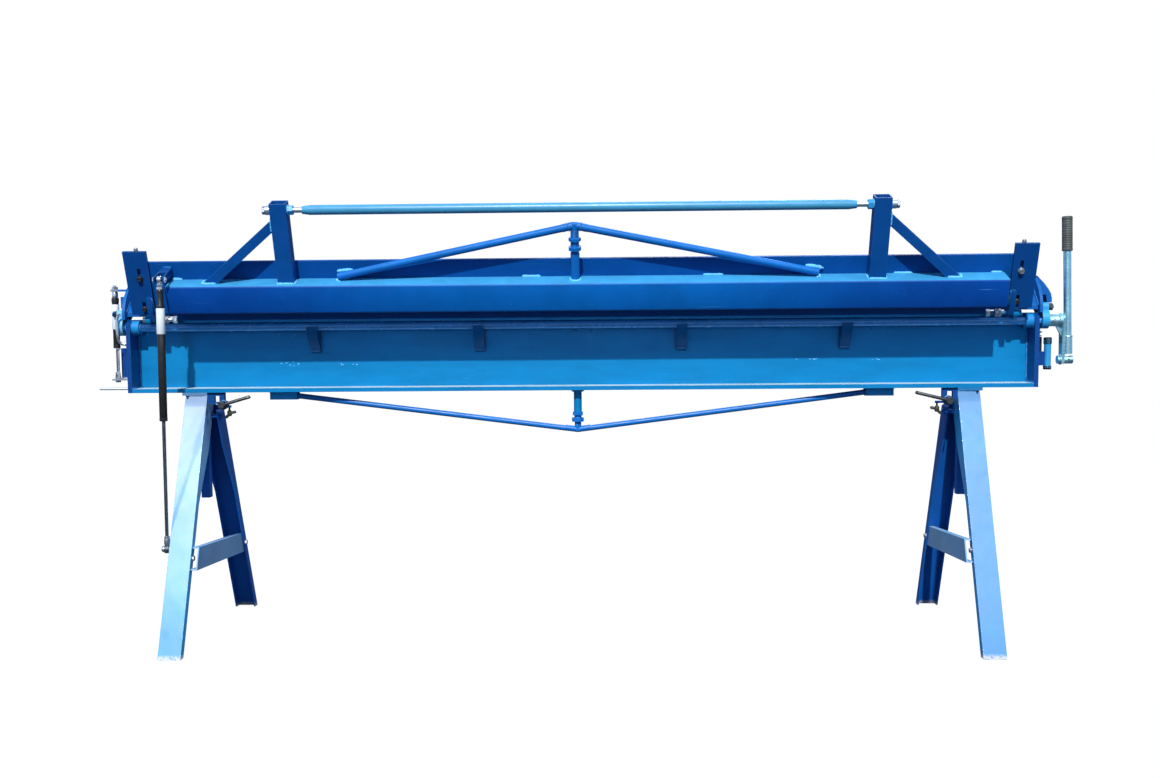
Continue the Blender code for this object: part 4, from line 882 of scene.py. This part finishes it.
# nuts and thread of the screw post
bm = bmesh.new()
hexnut(bm, leaf(TRX, .2080, .042), LU, .0340, .0112, .0100)
hexnut(bm, leaf(TRX, .2338, .042), LU, .0300, .0102, .0100, phase=.4)
thread(bm, leaf(TRX, .2190, .042), LU, .0150, .0119, .0022, seg=20)
thread(bm, leaf(TRX, .2440, .042), LU, .0220, .0117, .0022, seg=20)
piece("leaf_truss_nuts", bm, "bending_leaf", "truss", smooth=30)

# ================================================================ the base
# clamp screw, lock knob and end of the tommy bar on each side
LUGS = {-1: (1.0290, 1.0150, .9503), 1: (1.0520, 1.0230, .9599)}

bm = bmesh.new()
WEB_Y = -0.018                 # front face of the web
FL_T = 0.731                   # top of the lower flange
for i, x in enumerate((-.768, -.288, .296, .766)):
    for q in (-1, 1):
        bead(bm, [(x + q * .0156, WEB_Y - .0010, .832), (x + q * .0156, WEB_Y - .0010, .915)], (q, -1, 0),
             .0060, .0034, 200 + 2 * i + q)
        bead(bm, [(x + q * .0156, -.0250, .9196), (x + q * .0156, -.0480, .9196)], (q, 0, -1), .0056, .0032,
             220 + 2 * i + q)
    bead(bm, [(x - .014, -.0330, .8370), (x + .014, -.0330, .8370)], (0, -.6, -1), .0062, .0034, 240 + i)
for side, s in SIDES:
    xi = s * 1.2905
    bead(bm, [(xi, -.0880, FL_T + .0008), (xi, WEB_Y - .001, FL_T + .0008)], (-s, 0, 1), .0060, .0036, 250 + s)
    bead(bm, [(xi, WEB_Y - .0010, .735), (xi, WEB_Y - .0010, .884)], (-s, -1, 0), .0060, .0036, 255 + s)
    ring_bead(bm, (s * 1.2907, -.062, .907), (-s, 0, 0), .0210, .0030, 260 + s)
    # truss anchors, saddles
    for q in (-1, 1):
        bead(bm, [(s * (ANCHOR[s] + .002), -.050 + q * .0148, .7186), (s * (ANCHOR[s] + .077), -.050 + q * .0148, .7186)],
             (0, q, -1), .0060, .0034, 270 + 2 * s + q)
    xo = ANCHOR[s] + .0796
    bead(bm, [(s * xo, -.062, .7186), (s * xo, -.038, .7186)], (s, 0, -1), .0056, .0032, 280 + s)
    ring_bead(bm, (s * (ANCHOR[s] - .0022), -.050, .7061), Vector((-s * .808, 0, -.1035)), .0085, .0044, 285 + s)
    # saddle on the front leg
    bead(bm, [(s * 1.0925, -.0352, .7084), (s * 1.1535, -.0352, .7084)], (0, -1, -.5), .0060, .0034, 290 + s)
    # boss of the clamp lug
    ring_bead(bm, (s * LUGS[s][0], -.0822, .6830), (0, -1, 0), .0125, .0036, 295 + s)
ring_bead(bm, (TRX, -.050, .7188), (0, 0, -1), .0178, .0056, 310)
piece("weld_runs_base", bm, "base", "weld_dark")

# small button-head screws in pairs on the web, under the shaft
bm = bmesh.new()
for x in (-.875, -.828, -.012, .035, .846, .895):
    z = .8835
    lathe(bm, (x, WEB_Y + .0002, z), (0, -1, 0), [(0, .0036), (.0010, .0036), (.0020, .0028), (.0024, .0014),
                                                (.0014, .0012), (.0012, .0006)], 16)
piece("web_screws", bm, "base", "light", smooth=50)

# runs of weld spatter and chipped paint left on the web
bm = bmesh.new()
rnd = random.Random(7)
for x0, x1, z0, z1, n in ((-.880, -.780, .792, .806, 7), (-.700, -.640, .794, .798, 5), (.620, .705, .799, .803, 6),
                          (.845, .870, .797, .801, 3)):
    for i in range(n):
        x, z = rnd.uniform(x0, x1), rnd.uniform(z0, z1)
        blob(bm, (x, WEB_Y - .0001, z), rnd.uniform(.0009, .0019), 400 + i, (1.6, .8, .5), (0, -1, 0))
piece("weld_spatter", bm, "base", "weld", smooth=60)

# bolts of the stands
bz = bmesh.new()
bs = bmesh.new()
bp = bmesh.new()
for side, s in SIDES:
    # pivot bolt: chamfered head, washer and nut
    hexnut(bp, (s * 1.1560, 0, .645), (s, 0, 0), .0200, .0078, 0, phase=.2)
    washer(bp, (s * 1.0668, 0, .645), (-s, 0, 0), .0125, .0062, .0016)
    hexnut(bp, (s * 1.0652, 0, .645), (-s, 0, 0), .0180, .0062, .0060, phase=.5)
    # spreader bolts, one at each end
    for sy in (-1, 1):
        z = (.243 if s < 0 else .257) - .0159 * sy
        y = sy * (.345 - .313 * z / .705 - .016)
        hexnut(bz, (s * (1.0900 if sy < 0 else 1.0668), y, z), (-s, 0, 0), .0130, .0055, 0, phase=.3)
        thread(bz, (s * (1.0840 if sy < 0 else 1.0668), y, z), (s, 0, 0), .0180, .0040, .00125)
        washer(bz, (s * (1.0905 if sy < 0 else 1.0673), y, z), (-s, 0, 0), .0088, .0042, .0014)
    # small bolt under the saddle's outer edge
    hexnut(bs, (s * 1.1430, -.0490, .7085), (0, 0, -1), .0090, .0040, 0)
    thread(bs, (s * 1.1430, -.0490, .7060), (0, 0, -1), .0070, .0026, .0010)
piece("stand_fasteners", bz, "base", "zinc_dull", smooth=30)
piece("stand_pivot_nuts", bp, "base", "leg_rear", smooth=30)
piece("saddle_bolts", bs, "base", "steel", smooth=30)

# lower truss: nut, collar and thread at the apex, joint lug of the rods
bm = bmesh.new()
hexnut(bm, (TRX, -.050, .6380), (0, 0, -1), .0315, .0122, .0080, phase=.25)
hexnut(bm, (TRX, -.050, .6550), (0, 0, -1), .0290, .0104, .0080)
thread(bm, (TRX, -.050, .6450), (0, 0, -1), .0080, .0108, .0022, seg=20)
thread(bm, (TRX, -.050, .6262), (0, 0, -1), .0150, .0098, .0022, seg=20)
piece("lower_truss_nuts", bm, "base", "truss", smooth=30)
bm = bmesh.new()
sweep(bm, spline([(TRX + x, -.050, z) for x, z in ((-.036, .6086), (-.016, .6060), (0, .6036), (.016, .6060),
                                                  (.036, .6086))], 5), .0086, 14)
piece("lower_truss_apex", bm, "base", "truss")

# -------------------------------------------------------- struts and sleeves
P0 = Vector((-1.164, -0.206, 0.284))
P1 = Vector((XT, EY, EZ))
SD = (P1 - P0).normalized()
CB = (P1 - P0).length - 0.3920
bm = bmesh.new()
lathe(bm, P0 + SD * (CB + .2425), SD, [(0, .01085), (0, .0116), (.0006, .0119), (.0704, .0119), (.0710, .0116),
                                     (.0710, .01085)], 32, closed=True)
piece("strut_sleeve", bm, "leaf_strut_cylinder", "sleeve", smooth=40)
bm = bmesh.new()
c = P0 + SD * CB
lathe(bm, c, SD, [(-.0006, .0054), (-.0006, .0096), (.0, .0110), (.0060, .01125), (.0085, .01095), (.0085, .0106)], 28,
      closed=True)
lathe(bm, c, SD, [(.3145, .0106), (.3145, .0110), (.3185, .0111), (.3225, .0098), (.3230, .0084)], 28, closed=True)
# collar on the neck
lathe(bm, c, SD, [(.3570, .0084), (.3570, .0094), (.3615, .0096), (.3650, .0080), (.3650, .0055)], 24, closed=True)
piece("strut_end_caps", bm, "leaf_strut_cylinder", "black", smooth=40)
bm = bmesh.new()
lathe(bm, c, SD, [(.3652, .0056), (.3652, .0072), (.3660, .0076), (.3810, .0076), (.3826, .0062), (.3826, .0056)], 24,
      closed=True)
hexnut(bm, c + SD * .3655, SD, .0160, .0060, .0057)
# bright ring of the eye
lathe(bm, P1 - XX * .0057, XX, [(0, .0046), (0, .0094), (.0010, .0103), (.0104, .0103), (.0114, .0094), (.0114, .0046)],
      26, closed=True)
piece("strut_top_stud", bm, "leaf_strut_cylinder", "chrome", smooth=35)
# lower end fitting
bm = bmesh.new()
hexnut(bm, P0 + SD * .0300, SD, .0135, .0065, .0052)
lathe(bm, P0 + SD * .0120, SD, [(0, .0076), (.002, .0084), (.017, .0084), (.0185, .0070), (.0185, .0052), (0, .0052)], 22,
      closed=True)
piece("strut_rod_fitting", bm, "leaf_strut_rod", "zinc_dull", smooth=35)
bm = bmesh.new()
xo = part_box("front_leg_left")[0].x
washer(bm, (xo - .0002, -.206, .284), (-1, 0, 0), .0088, .0046, .0014)
hexnut(bm, (xo + .0006, -.206, .284), (-1, 0, 0), .0130, .0046, 0)
piece("strut_foot_nut", bm, "base", "zinc", smooth=30)

XS, YS = -1.3470, -0.0450
bm = bmesh.new()
lathe(bm, (XS, YS, .9030), (0, 0, 1), [(0, .0096), (0, .0104), (.0006, .0107), (.0714, .0107), (.0720, .0104),
                                      (.0720, .0096)], 28, closed=True)
piece("lift_strut_sleeve", bm, "clamp_bar", "sleeve", smooth=40)
bm = bmesh.new()
lathe(bm, (XS, YS, .8480), (0, 0, 1), [(0, .0042), (0, .0088), (.0012, .0100), (.0080, .0101), (.0110, .0097),
                                      (.0110, .0090)], 26, closed=True)
lathe(bm, (XS, YS, .9795), (0, 0, 1), [(0, .0090), (0, .0100), (.0035, .0104), (.0120, .0104), (.0150, .0096),
                                      (.0150, .0060)], 26, closed=True)
piece("lift_strut_caps", bm, "clamp_bar", "black", smooth=40)
bm = bmesh.new()
lathe(bm, (XS, YS, .9950), (0, 0, 1), [(0, .0055), (0, .0082), (.0012, .0086), (.0120, .0086), (.0130, .0080),
                                      (.0174, .0080), (.0174, .0055)], 24, closed=True)
hexnut(bm, (XS, YS, 1.0182), (0, 0, 1), .0150, .0075, .0050)
thread(bm, (XS, YS, 1.0170), (0, 0, 1), .0130, .0050, .00125)
washer(bm, (XS, YS, 1.0178), (0, 0, 1), .0088, .0050, .0012)
piece("lift_strut_joint", bm, "clamp_bar", "chrome", smooth=35)
bm = bmesh.new()
hexnut(bm, (XS, YS, .7592), (0, 0, 1), .0140, .0070, .0072)
lathe(bm, (XS, YS, .7712), (0, 0, 1), [(0, .0036), (0, .0064), (.0010, .0068), (.0060, .0066), (.0080, .0050),
                                      (.0080, .0036)], 20, closed=True)
hexnut(bm, (XS, YS, .7548), (0, 0, -1), .0130, .0060, 0)
piece("lift_strut_foot_nuts", bm, "base", "zinc_dull", smooth=35)

# bent stop rod beside the lift strut, on the end plate
bm = bmesh.new()
path = spline([(-1.3045, -.0800, .8610), (-1.3150, -.0830, .8600), (-1.3205, -.0920, .8660), (-1.3228, -.0990, .8790),
               (-1.3236, -.1000, .9150), (-1.3226, -.1000, .9330), (-1.3188, -.1000, .9430)], 6)
sweep(bm, path, .0040, 12)
blob(bm, (-1.3178, -.1000, .9450), .0052, 501, (1, 1, 1.1))
piece("stop_hook", bm, "base", "chrome")
bm = bmesh.new()
lathe(bm, (-1.3030, -.0800, .8610), (-1, 0, 0), [(0, .0085), (.0030, .0085), (.0045, .0065), (.0060, .0060)], 20)
thread(bm, (-1.3370, -.0620, .7592), (0, 0, 1), .0900, .0030, .0014, seg=12)
hexnut(bm, (-1.3370, -.0620, .7592), (0, 0, 1), .0105, .0050, .0030)
hexnut(bm, (-1.3370, -.0620, .8440), (0, 0, 1), .0105, .0050, .0030)
piece("stop_rod", bm, "base", "zinc", smooth=35)

# nuts of the hinge pins
bm = bmesh.new()
for side, s in SIDES:
    for x, fl, h, bo, ph in ((1.1922, .0205, .0080, .0094, .2), (1.1832, .0205, .0088, .0094, .6), (1.1607, .0180, .0114, .0080, .1)):
        hexnut(bm, (s * x, HINGE_Y, HINGE_Z), (-s, 0, 0), fl, h, bo, phase=ph)
piece("hinge_pin_nuts", bm, "base", "zinc", smooth=30)

# end faces: bolts through the end plates
bm = bmesh.new()
hexnut(bm, (-1.3033, -.0530, .7800), (-1, 0, 0), .0130, .0055, 0, phase=.2)
hexnut(bm, (1.3032, -.0560, .8600), (1, 0, 0), .0130, .0055, 0, phase=.2)
hexnut(bm, (1.3032, -.0300, .8900), (1, 0, 0), .0130, .0055, 0)
hexnut(bm, (-1.3033, -.0300, .8900), (-1, 0, 0), .0130, .0055, 0)
piece("end_plate_bolts", bm, "base", "zinc_dull", smooth=30)

# ============================================================ clamp drive
bm = bmesh.new()
TB, TT = Vector((1.3925, -.062, 0.8130)), Vector((1.3827, -.062, 1.1800))
GD = (TT - TB).normalized()
GB = TB + (TT - TB) * ((1.1024 - TB.z) / (TT.z - TB.z))


def grip_shape(th, d, r):
    if .004 < d < .092 and r > .0142:
        return r - .00085 * max(0.0, math.cos(8 * th)) ** 2
    return r


prof = [(0, .0111), (0, .0136), (.0010, .0145), (.0035, .0147), (.0060, .0147)]
z = .0080
while z < .088:
    prof += [(z, .0147), (z + .0007, .0139), (z + .0017, .0139), (z + .0024, .0147)]
    z += .0064
prof += [(.0925, .0147), (.0955, .0143), (.0975, .0128), (.0980, .0100), (.0980, .0030), (.0790, .0030), (.0790, .0111)]
lathe(bm, GB, GD, prof, 48, closed=True, shape=grip_shape)
g = piece("lever_grip_ribbed", bm, "clamp_drive", "grip", smooth=50)
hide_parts("lever_grip")

bm = bmesh.new()
ring_bead(bm, (1.3712, -.062, .907), (-1, 0, 0), .0186, .0050, 601)
ring_bead(bm, (1.3712, -.062, .7955), (-1, 0, 0), .0122, .0050, 602)
ring_bead(bm, TB + GD * .0490, GD, .0117, .0040, 603)
piece("weld_runs_lever", bm, "clamp_drive", "lever")
bm = bmesh.new()
# grub screw of the hub, washers and clip at the shaft ends
lathe(bm, (1.3480, -.0785, .9090), (0, -1, .12), [(0, .0042), (.0020, .0042), (.0024, .0036), (.0024, .0018),
                                                 (.0010, .0016)], 16)
washer(bm, (-1.3322, -.062, .907), (-1, 0, 0), .0160, .0121, .0012)
lathe(bm, (-1.3333, -.062, .907), (-1, 0, 0), [(0, .0118), (.0012, .0118), (.0022, .0108), (.0022, .0040),
                                              (.0014, .0036)], 24)
lathe(bm, (1.3643, -.062, .907), (1, 0, 0), [(0, .0118), (.0012, .0118), (.0022, .0108), (.0022, .0040),
                                            (.0014, .0036)], 24)
piece("shaft_fittings", bm, "clamp_drive", "zinc", smooth=30)

# ============================================================== clamp bar
bm = bmesh.new()
LY = -0.062 - 0.00566 * math.cos(math.radians(45))
for side, s in SIDES:
    x = s * 1.3342
    hexnut(bm, (x, LY, .946), (s, 0, 0), .0185 if s > 0 else .0165, .0108, .0052, phase=.3)
    washer(bm, (s * 1.3325, LY, .946), (s, 0, 0), .0115, .0053, .0014)
piece("link_pin_nuts", bm, "clamp_bar", "black", smooth=30)
bm = bmesh.new()
for side, s in SIDES:
    bead(bm, [(s * 1.3034, .0280, 1.0450), (s * 1.3034, .0760, 1.0450)], (s * -.5, 0, 1), .0046, .0006, 705 + s)
    bead(bm, [(s * 1.3034, -.0780, .9500), (s * 1.3034, -.0080, 1.0200)], (s * -.3, -.7, .7), .0050, .0026, 710 + s)
    bead(bm, [(s * 1.3120, -.0410, .9640), (s * 1.3120, -.0410, .9900)], (s * .6, -.8, 0), .0054, .0032, 715 + s)
piece("weld_runs_clamp", bm, "clamp_bar", "weld_dark")

# caps of the spring housing and the sleeve's lip
bm = bmesh.new()
XR, YR = 1.3490, -0.0210
lathe(bm, (XR, YR, .7660), (0, 0, 1), [(0, .0070), (0, .0100), (.0012, .0114), (.0100, .0117), (.0112, .0112),
                                      (.0112, .0101)], 28, closed=True,
      shape=lambda th, d, r: r - (.0007 * max(0.0, math.cos(14 * th)) if r > .0108 else 0.0))
lathe(bm, (XR, YR, .8392), (0, 0, 1), [(0, .0101), (0, .0112), (.0012, .0117), (.0160, .0117), (.0185, .0108),
                                      (.0195, .0085), (.0195, .0030), (.0180, .0030)], 28,
      shape=lambda th, d, r: r - (.0007 * max(0.0, math.cos(14 * th)) if r > .0108 else 0.0))
piece("spring_caps", bm, "base", "black", smooth=40)
# a coil spring shows between the caps
bm = bmesh.new()
coil = []
turns, n = 7, 16
for i in range(turns * n + 1):
    th = 2 * math.pi * i / n
    coil.append((1.3225 + .0086 * math.cos(th), -.0200 + .0086 * math.sin(th), .8625 + .0865 * i / (turns * n)))
sweep(bm, coil, .0013, 8)
piece("guide_spring", bm, "base", "steel", smooth=60)

# ============================================================ screws, knobs
for side, s in SIDES:
    bm = bmesh.new()
    sx, kx, be = LUGS[s]
    thread(bm, (s * sx, -.0852, .6830), (0, 1, 0), .0300, .0064, .0016, seg=16)
    lathe(bm, (s * sx, -.1050, .6830), (0, 1, 0), [(0, .0060), (0, .0088), (.0012, .0100), (.0016, .0060)], 24,
          closed=True)
    blob(bm, (s * (be + .0005), -.0970, .7059), .0053, 800 + s, (1, 1, 1.1), (s, 0, -.26))
    piece("clamp_screw_detail_" + side, bm, "screw_" + side, "steel", smooth=35)
    bm = bmesh.new()
    lathe(bm, (s * kx, -.0705, .6640), (0, 0, -1), [(0, .0050), (0, .0060), (.0012, .0068), (.0112, .0068), (.0132, .0056),
                                                  (.0146, .0030), (.0146, .0012)], 24,
          shape=lambda th, d, r: r - (.0006 * max(0.0, math.cos(10 * th)) if r > .0064 else 0.0))
    piece("lock_knob_detail_" + side, bm, "knob_" + side, "knob", smooth=40)
    bm = bmesh.new()
    c = leaf(s * XM[s], .2083, .0153)
    thread(bm, c, LU, .0100, .0034, .0010, seg=12)
    hexnut(bm, c + LU * .0003, LU, .0110, .0042, .0030)
    lathe(bm, c + LU * .0045, LU, [(0, .0052), (.0004, .0058), (.0038, .0058), (.0046, .0052), (.0046, .0022),
                                 (.0030, .0020)], 20,
          shape=lambda th, d, r: r - (.0004 * max(0.0, math.cos(12 * th)) if r > .0055 else 0.0))
    piece("height_screw_detail_" + side, bm, "height_" + side, "zinc_dull", smooth=35)

# ================================================================== stage
def floor():
    me = bpy.data.meshes.new("studio_floor")
    v, f = [], []
    n = 24
    # a wide floor that curves up far behind the object
    prof = [(-14.0, 0.0)] + [(9.0 + 4.0 * math.sin(math.radians(a)), 4.0 - 4.0 * math.cos(math.radians(a)))
                             for a in range(0, 91, 6)] + [(13.0, 12.0)]
    for x in (-16.0, 16.0):
        v += [(x, y, z - 0.0004) for y, z in prof]
    m = len(prof)
    for i in range(m - 1):
        f.append((i, i + 1, m + i + 1, m + i))
    me.from_pydata(v, [], f)
    me.shade_smooth()
    ob = bpy.data.objects.new("studio_floor", me)
    SCENE.collection.objects.link(ob)
    mt = bpy.data.materials.new("studio_floor")
    mt.use_nodes = True
    t = mt.node_tree
    t.nodes.clear()
    out = t.nodes.new("ShaderNodeOutputMaterial")
    dif = t.nodes.new("ShaderNodeBsdfDiffuse")
    dif.inputs["Color"].default_value = (0.12, 0.12, 0.12, 1)
    em = t.nodes.new("ShaderNodeEmission")
    em.inputs["Color"].default_value = (1.0, 1.0, 1.0, 1)
    em.inputs["Strength"].default_value = 0.965
    add = t.nodes.new("ShaderNodeAddShader")
    dark = t.nodes.new("ShaderNodeBsdfDiffuse")
    dark.inputs["Color"].default_value = (0.16, 0.17, 0.18, 1)
    mix = t.nodes.new("ShaderNodeMixShader")
    lp = t.nodes.new("ShaderNodeLightPath")
    ln = t.links.new
    ln(dif.outputs[0], add.inputs[0])
    ln(em.outputs[0], add.inputs[1])
    ln(lp.outputs["Is Camera Ray"], mix.inputs[0])
    ln(dark.outputs[0], mix.inputs[1])
    ln(add.outputs[0], mix.inputs[2])
    ln(mix.outputs[0], out.inputs["Surface"])
    me.materials.append(mt)
    ob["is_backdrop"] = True
    return ob


FLOOR = floor()

world = bpy.data.worlds.new("studio")
SCENE.world = world
world.use_nodes = True
t = world.node_tree
t.nodes.clear()
out = t.nodes.new("ShaderNodeOutputWorld")
bg1 = t.nodes.new("ShaderNodeBackground")
bg1.inputs["Color"].default_value = (0.58, 0.74, 1.0, 1)
bg1.inputs["Strength"].default_value = 0.80
bg2 = t.nodes.new("ShaderNodeBackground")
bg2.inputs["Color"].default_value = (1, 1, 1, 1)
bg2.inputs["Strength"].default_value = 1.0
mx = t.nodes.new("ShaderNodeMixShader")
lp = t.nodes.new("ShaderNodeLightPath")
t.links.new(lp.outputs["Is Camera Ray"], mx.inputs[0])
t.links.new(bg1.outputs[0], mx.inputs[1])
t.links.new(bg2.outputs[0], mx.inputs[2])
t.links.new(mx.outputs[0], out.inputs["Surface"])

no_floor = bpy.data.collections.new("lit_by_key")


def aim(ob, direction):
    ob.rotation_mode = "QUATERNION"
    ob.rotation_quaternion = Vector(direction).to_track_quat("-Z", "Y")


def sun(name, az, el, energy, angle, color=(1, 1, 1)):
    """az is counted from the front towards +X, as the light comes in."""
    L = bpy.data.lights.new(name, "SUN")
    L.energy, L.angle, L.color = energy, math.radians(angle), color
    ob = bpy.data.objects.new(name, L)
    SCENE.collection.objects.link(ob)
    a, e = math.radians(az), math.radians(el)
    src = Vector((math.sin(a) * math.cos(e), -math.cos(a) * math.cos(e), math.sin(e)))
    aim(ob, -src)
    return ob


def soft(name, az, el, dist, size, energy, target, color=(1, 1, 1)):
    L = bpy.data.lights.new(name, "AREA")
    L.shape, L.size, L.energy, L.color = "DISK", size, energy, color
    ob = bpy.data.objects.new(name, L)
    SCENE.collection.objects.link(ob)
    a, e = math.radians(az), math.radians(el)
    src = Vector((math.sin(a) * math.cos(e), -math.cos(a) * math.cos(e), math.sin(e)))
    ob.location = Vector(target) + src * dist
    aim(ob, -src)
    ob.visible_camera = False
    return ob


KEY = sun("key", -3.5, 41.6, 4.9, 1.2, (1.0, 0.98, 0.95))
LEG_KEYS = [sun("leg_key_" + side, -3.5, 41.6, 4.6, 1.2, (1.0, 0.98, 0.95)) for side, _s in SIDES]
WEB_FILL = sun("web_fill", -2.0, 4.0, 0.69, 12.0, (0.12, 0.50, 1.0))
FLANK_L = sun("flank_l", 65.0, 18.0, 1.3, 6.0)
FLANK_R = sun("flank_r", -65.0, 18.0, 0.9, 6.0)
LEG_L = soft("front_soft_left", -17.0, 39.0, 5.0, 1.7, 65.0, (-1.12, -0.2, 0.40))
LEG_R = soft("front_soft_right", 16.0, 39.0, 5.0, 1.7, 19.0, (1.12, -0.2, 0.40))
soft("back_soft", 165.0, 45.0, 5.0, 3.0, 90.0, (0, 0, 0.8))

# the key light leaves the floor alone, so that it stays plain and pale
def only(light, name, objects, shade=False):
    c = bpy.data.collections.new(name)
    for o in objects:
        c.objects.link(o)
    light.light_linking.receiver_collection = c
    if shade:
        light.light_linking.blocker_collection = c


legs = [NODES["front_leg_left"], NODES["front_leg_right"]]
only(KEY, "key_receivers", [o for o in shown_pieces() if o not in legs])
# the front legs are lit up to the saddle, with no shade from the beam
for L, leg in zip(LEG_KEYS, legs):
    only(L, leg.name + "_key", [leg])
    L.data.use_shadow = False
only(LEG_L, "leg_left_receiver", legs[:1])
only(LEG_R, "leg_right_receiver", legs[1:])
only(WEB_FILL, "web_receivers", [NODES["base_channel"]])
only(FLANK_L, "flank_left", legs[:1])
only(FLANK_R, "flank_right", legs[1:])
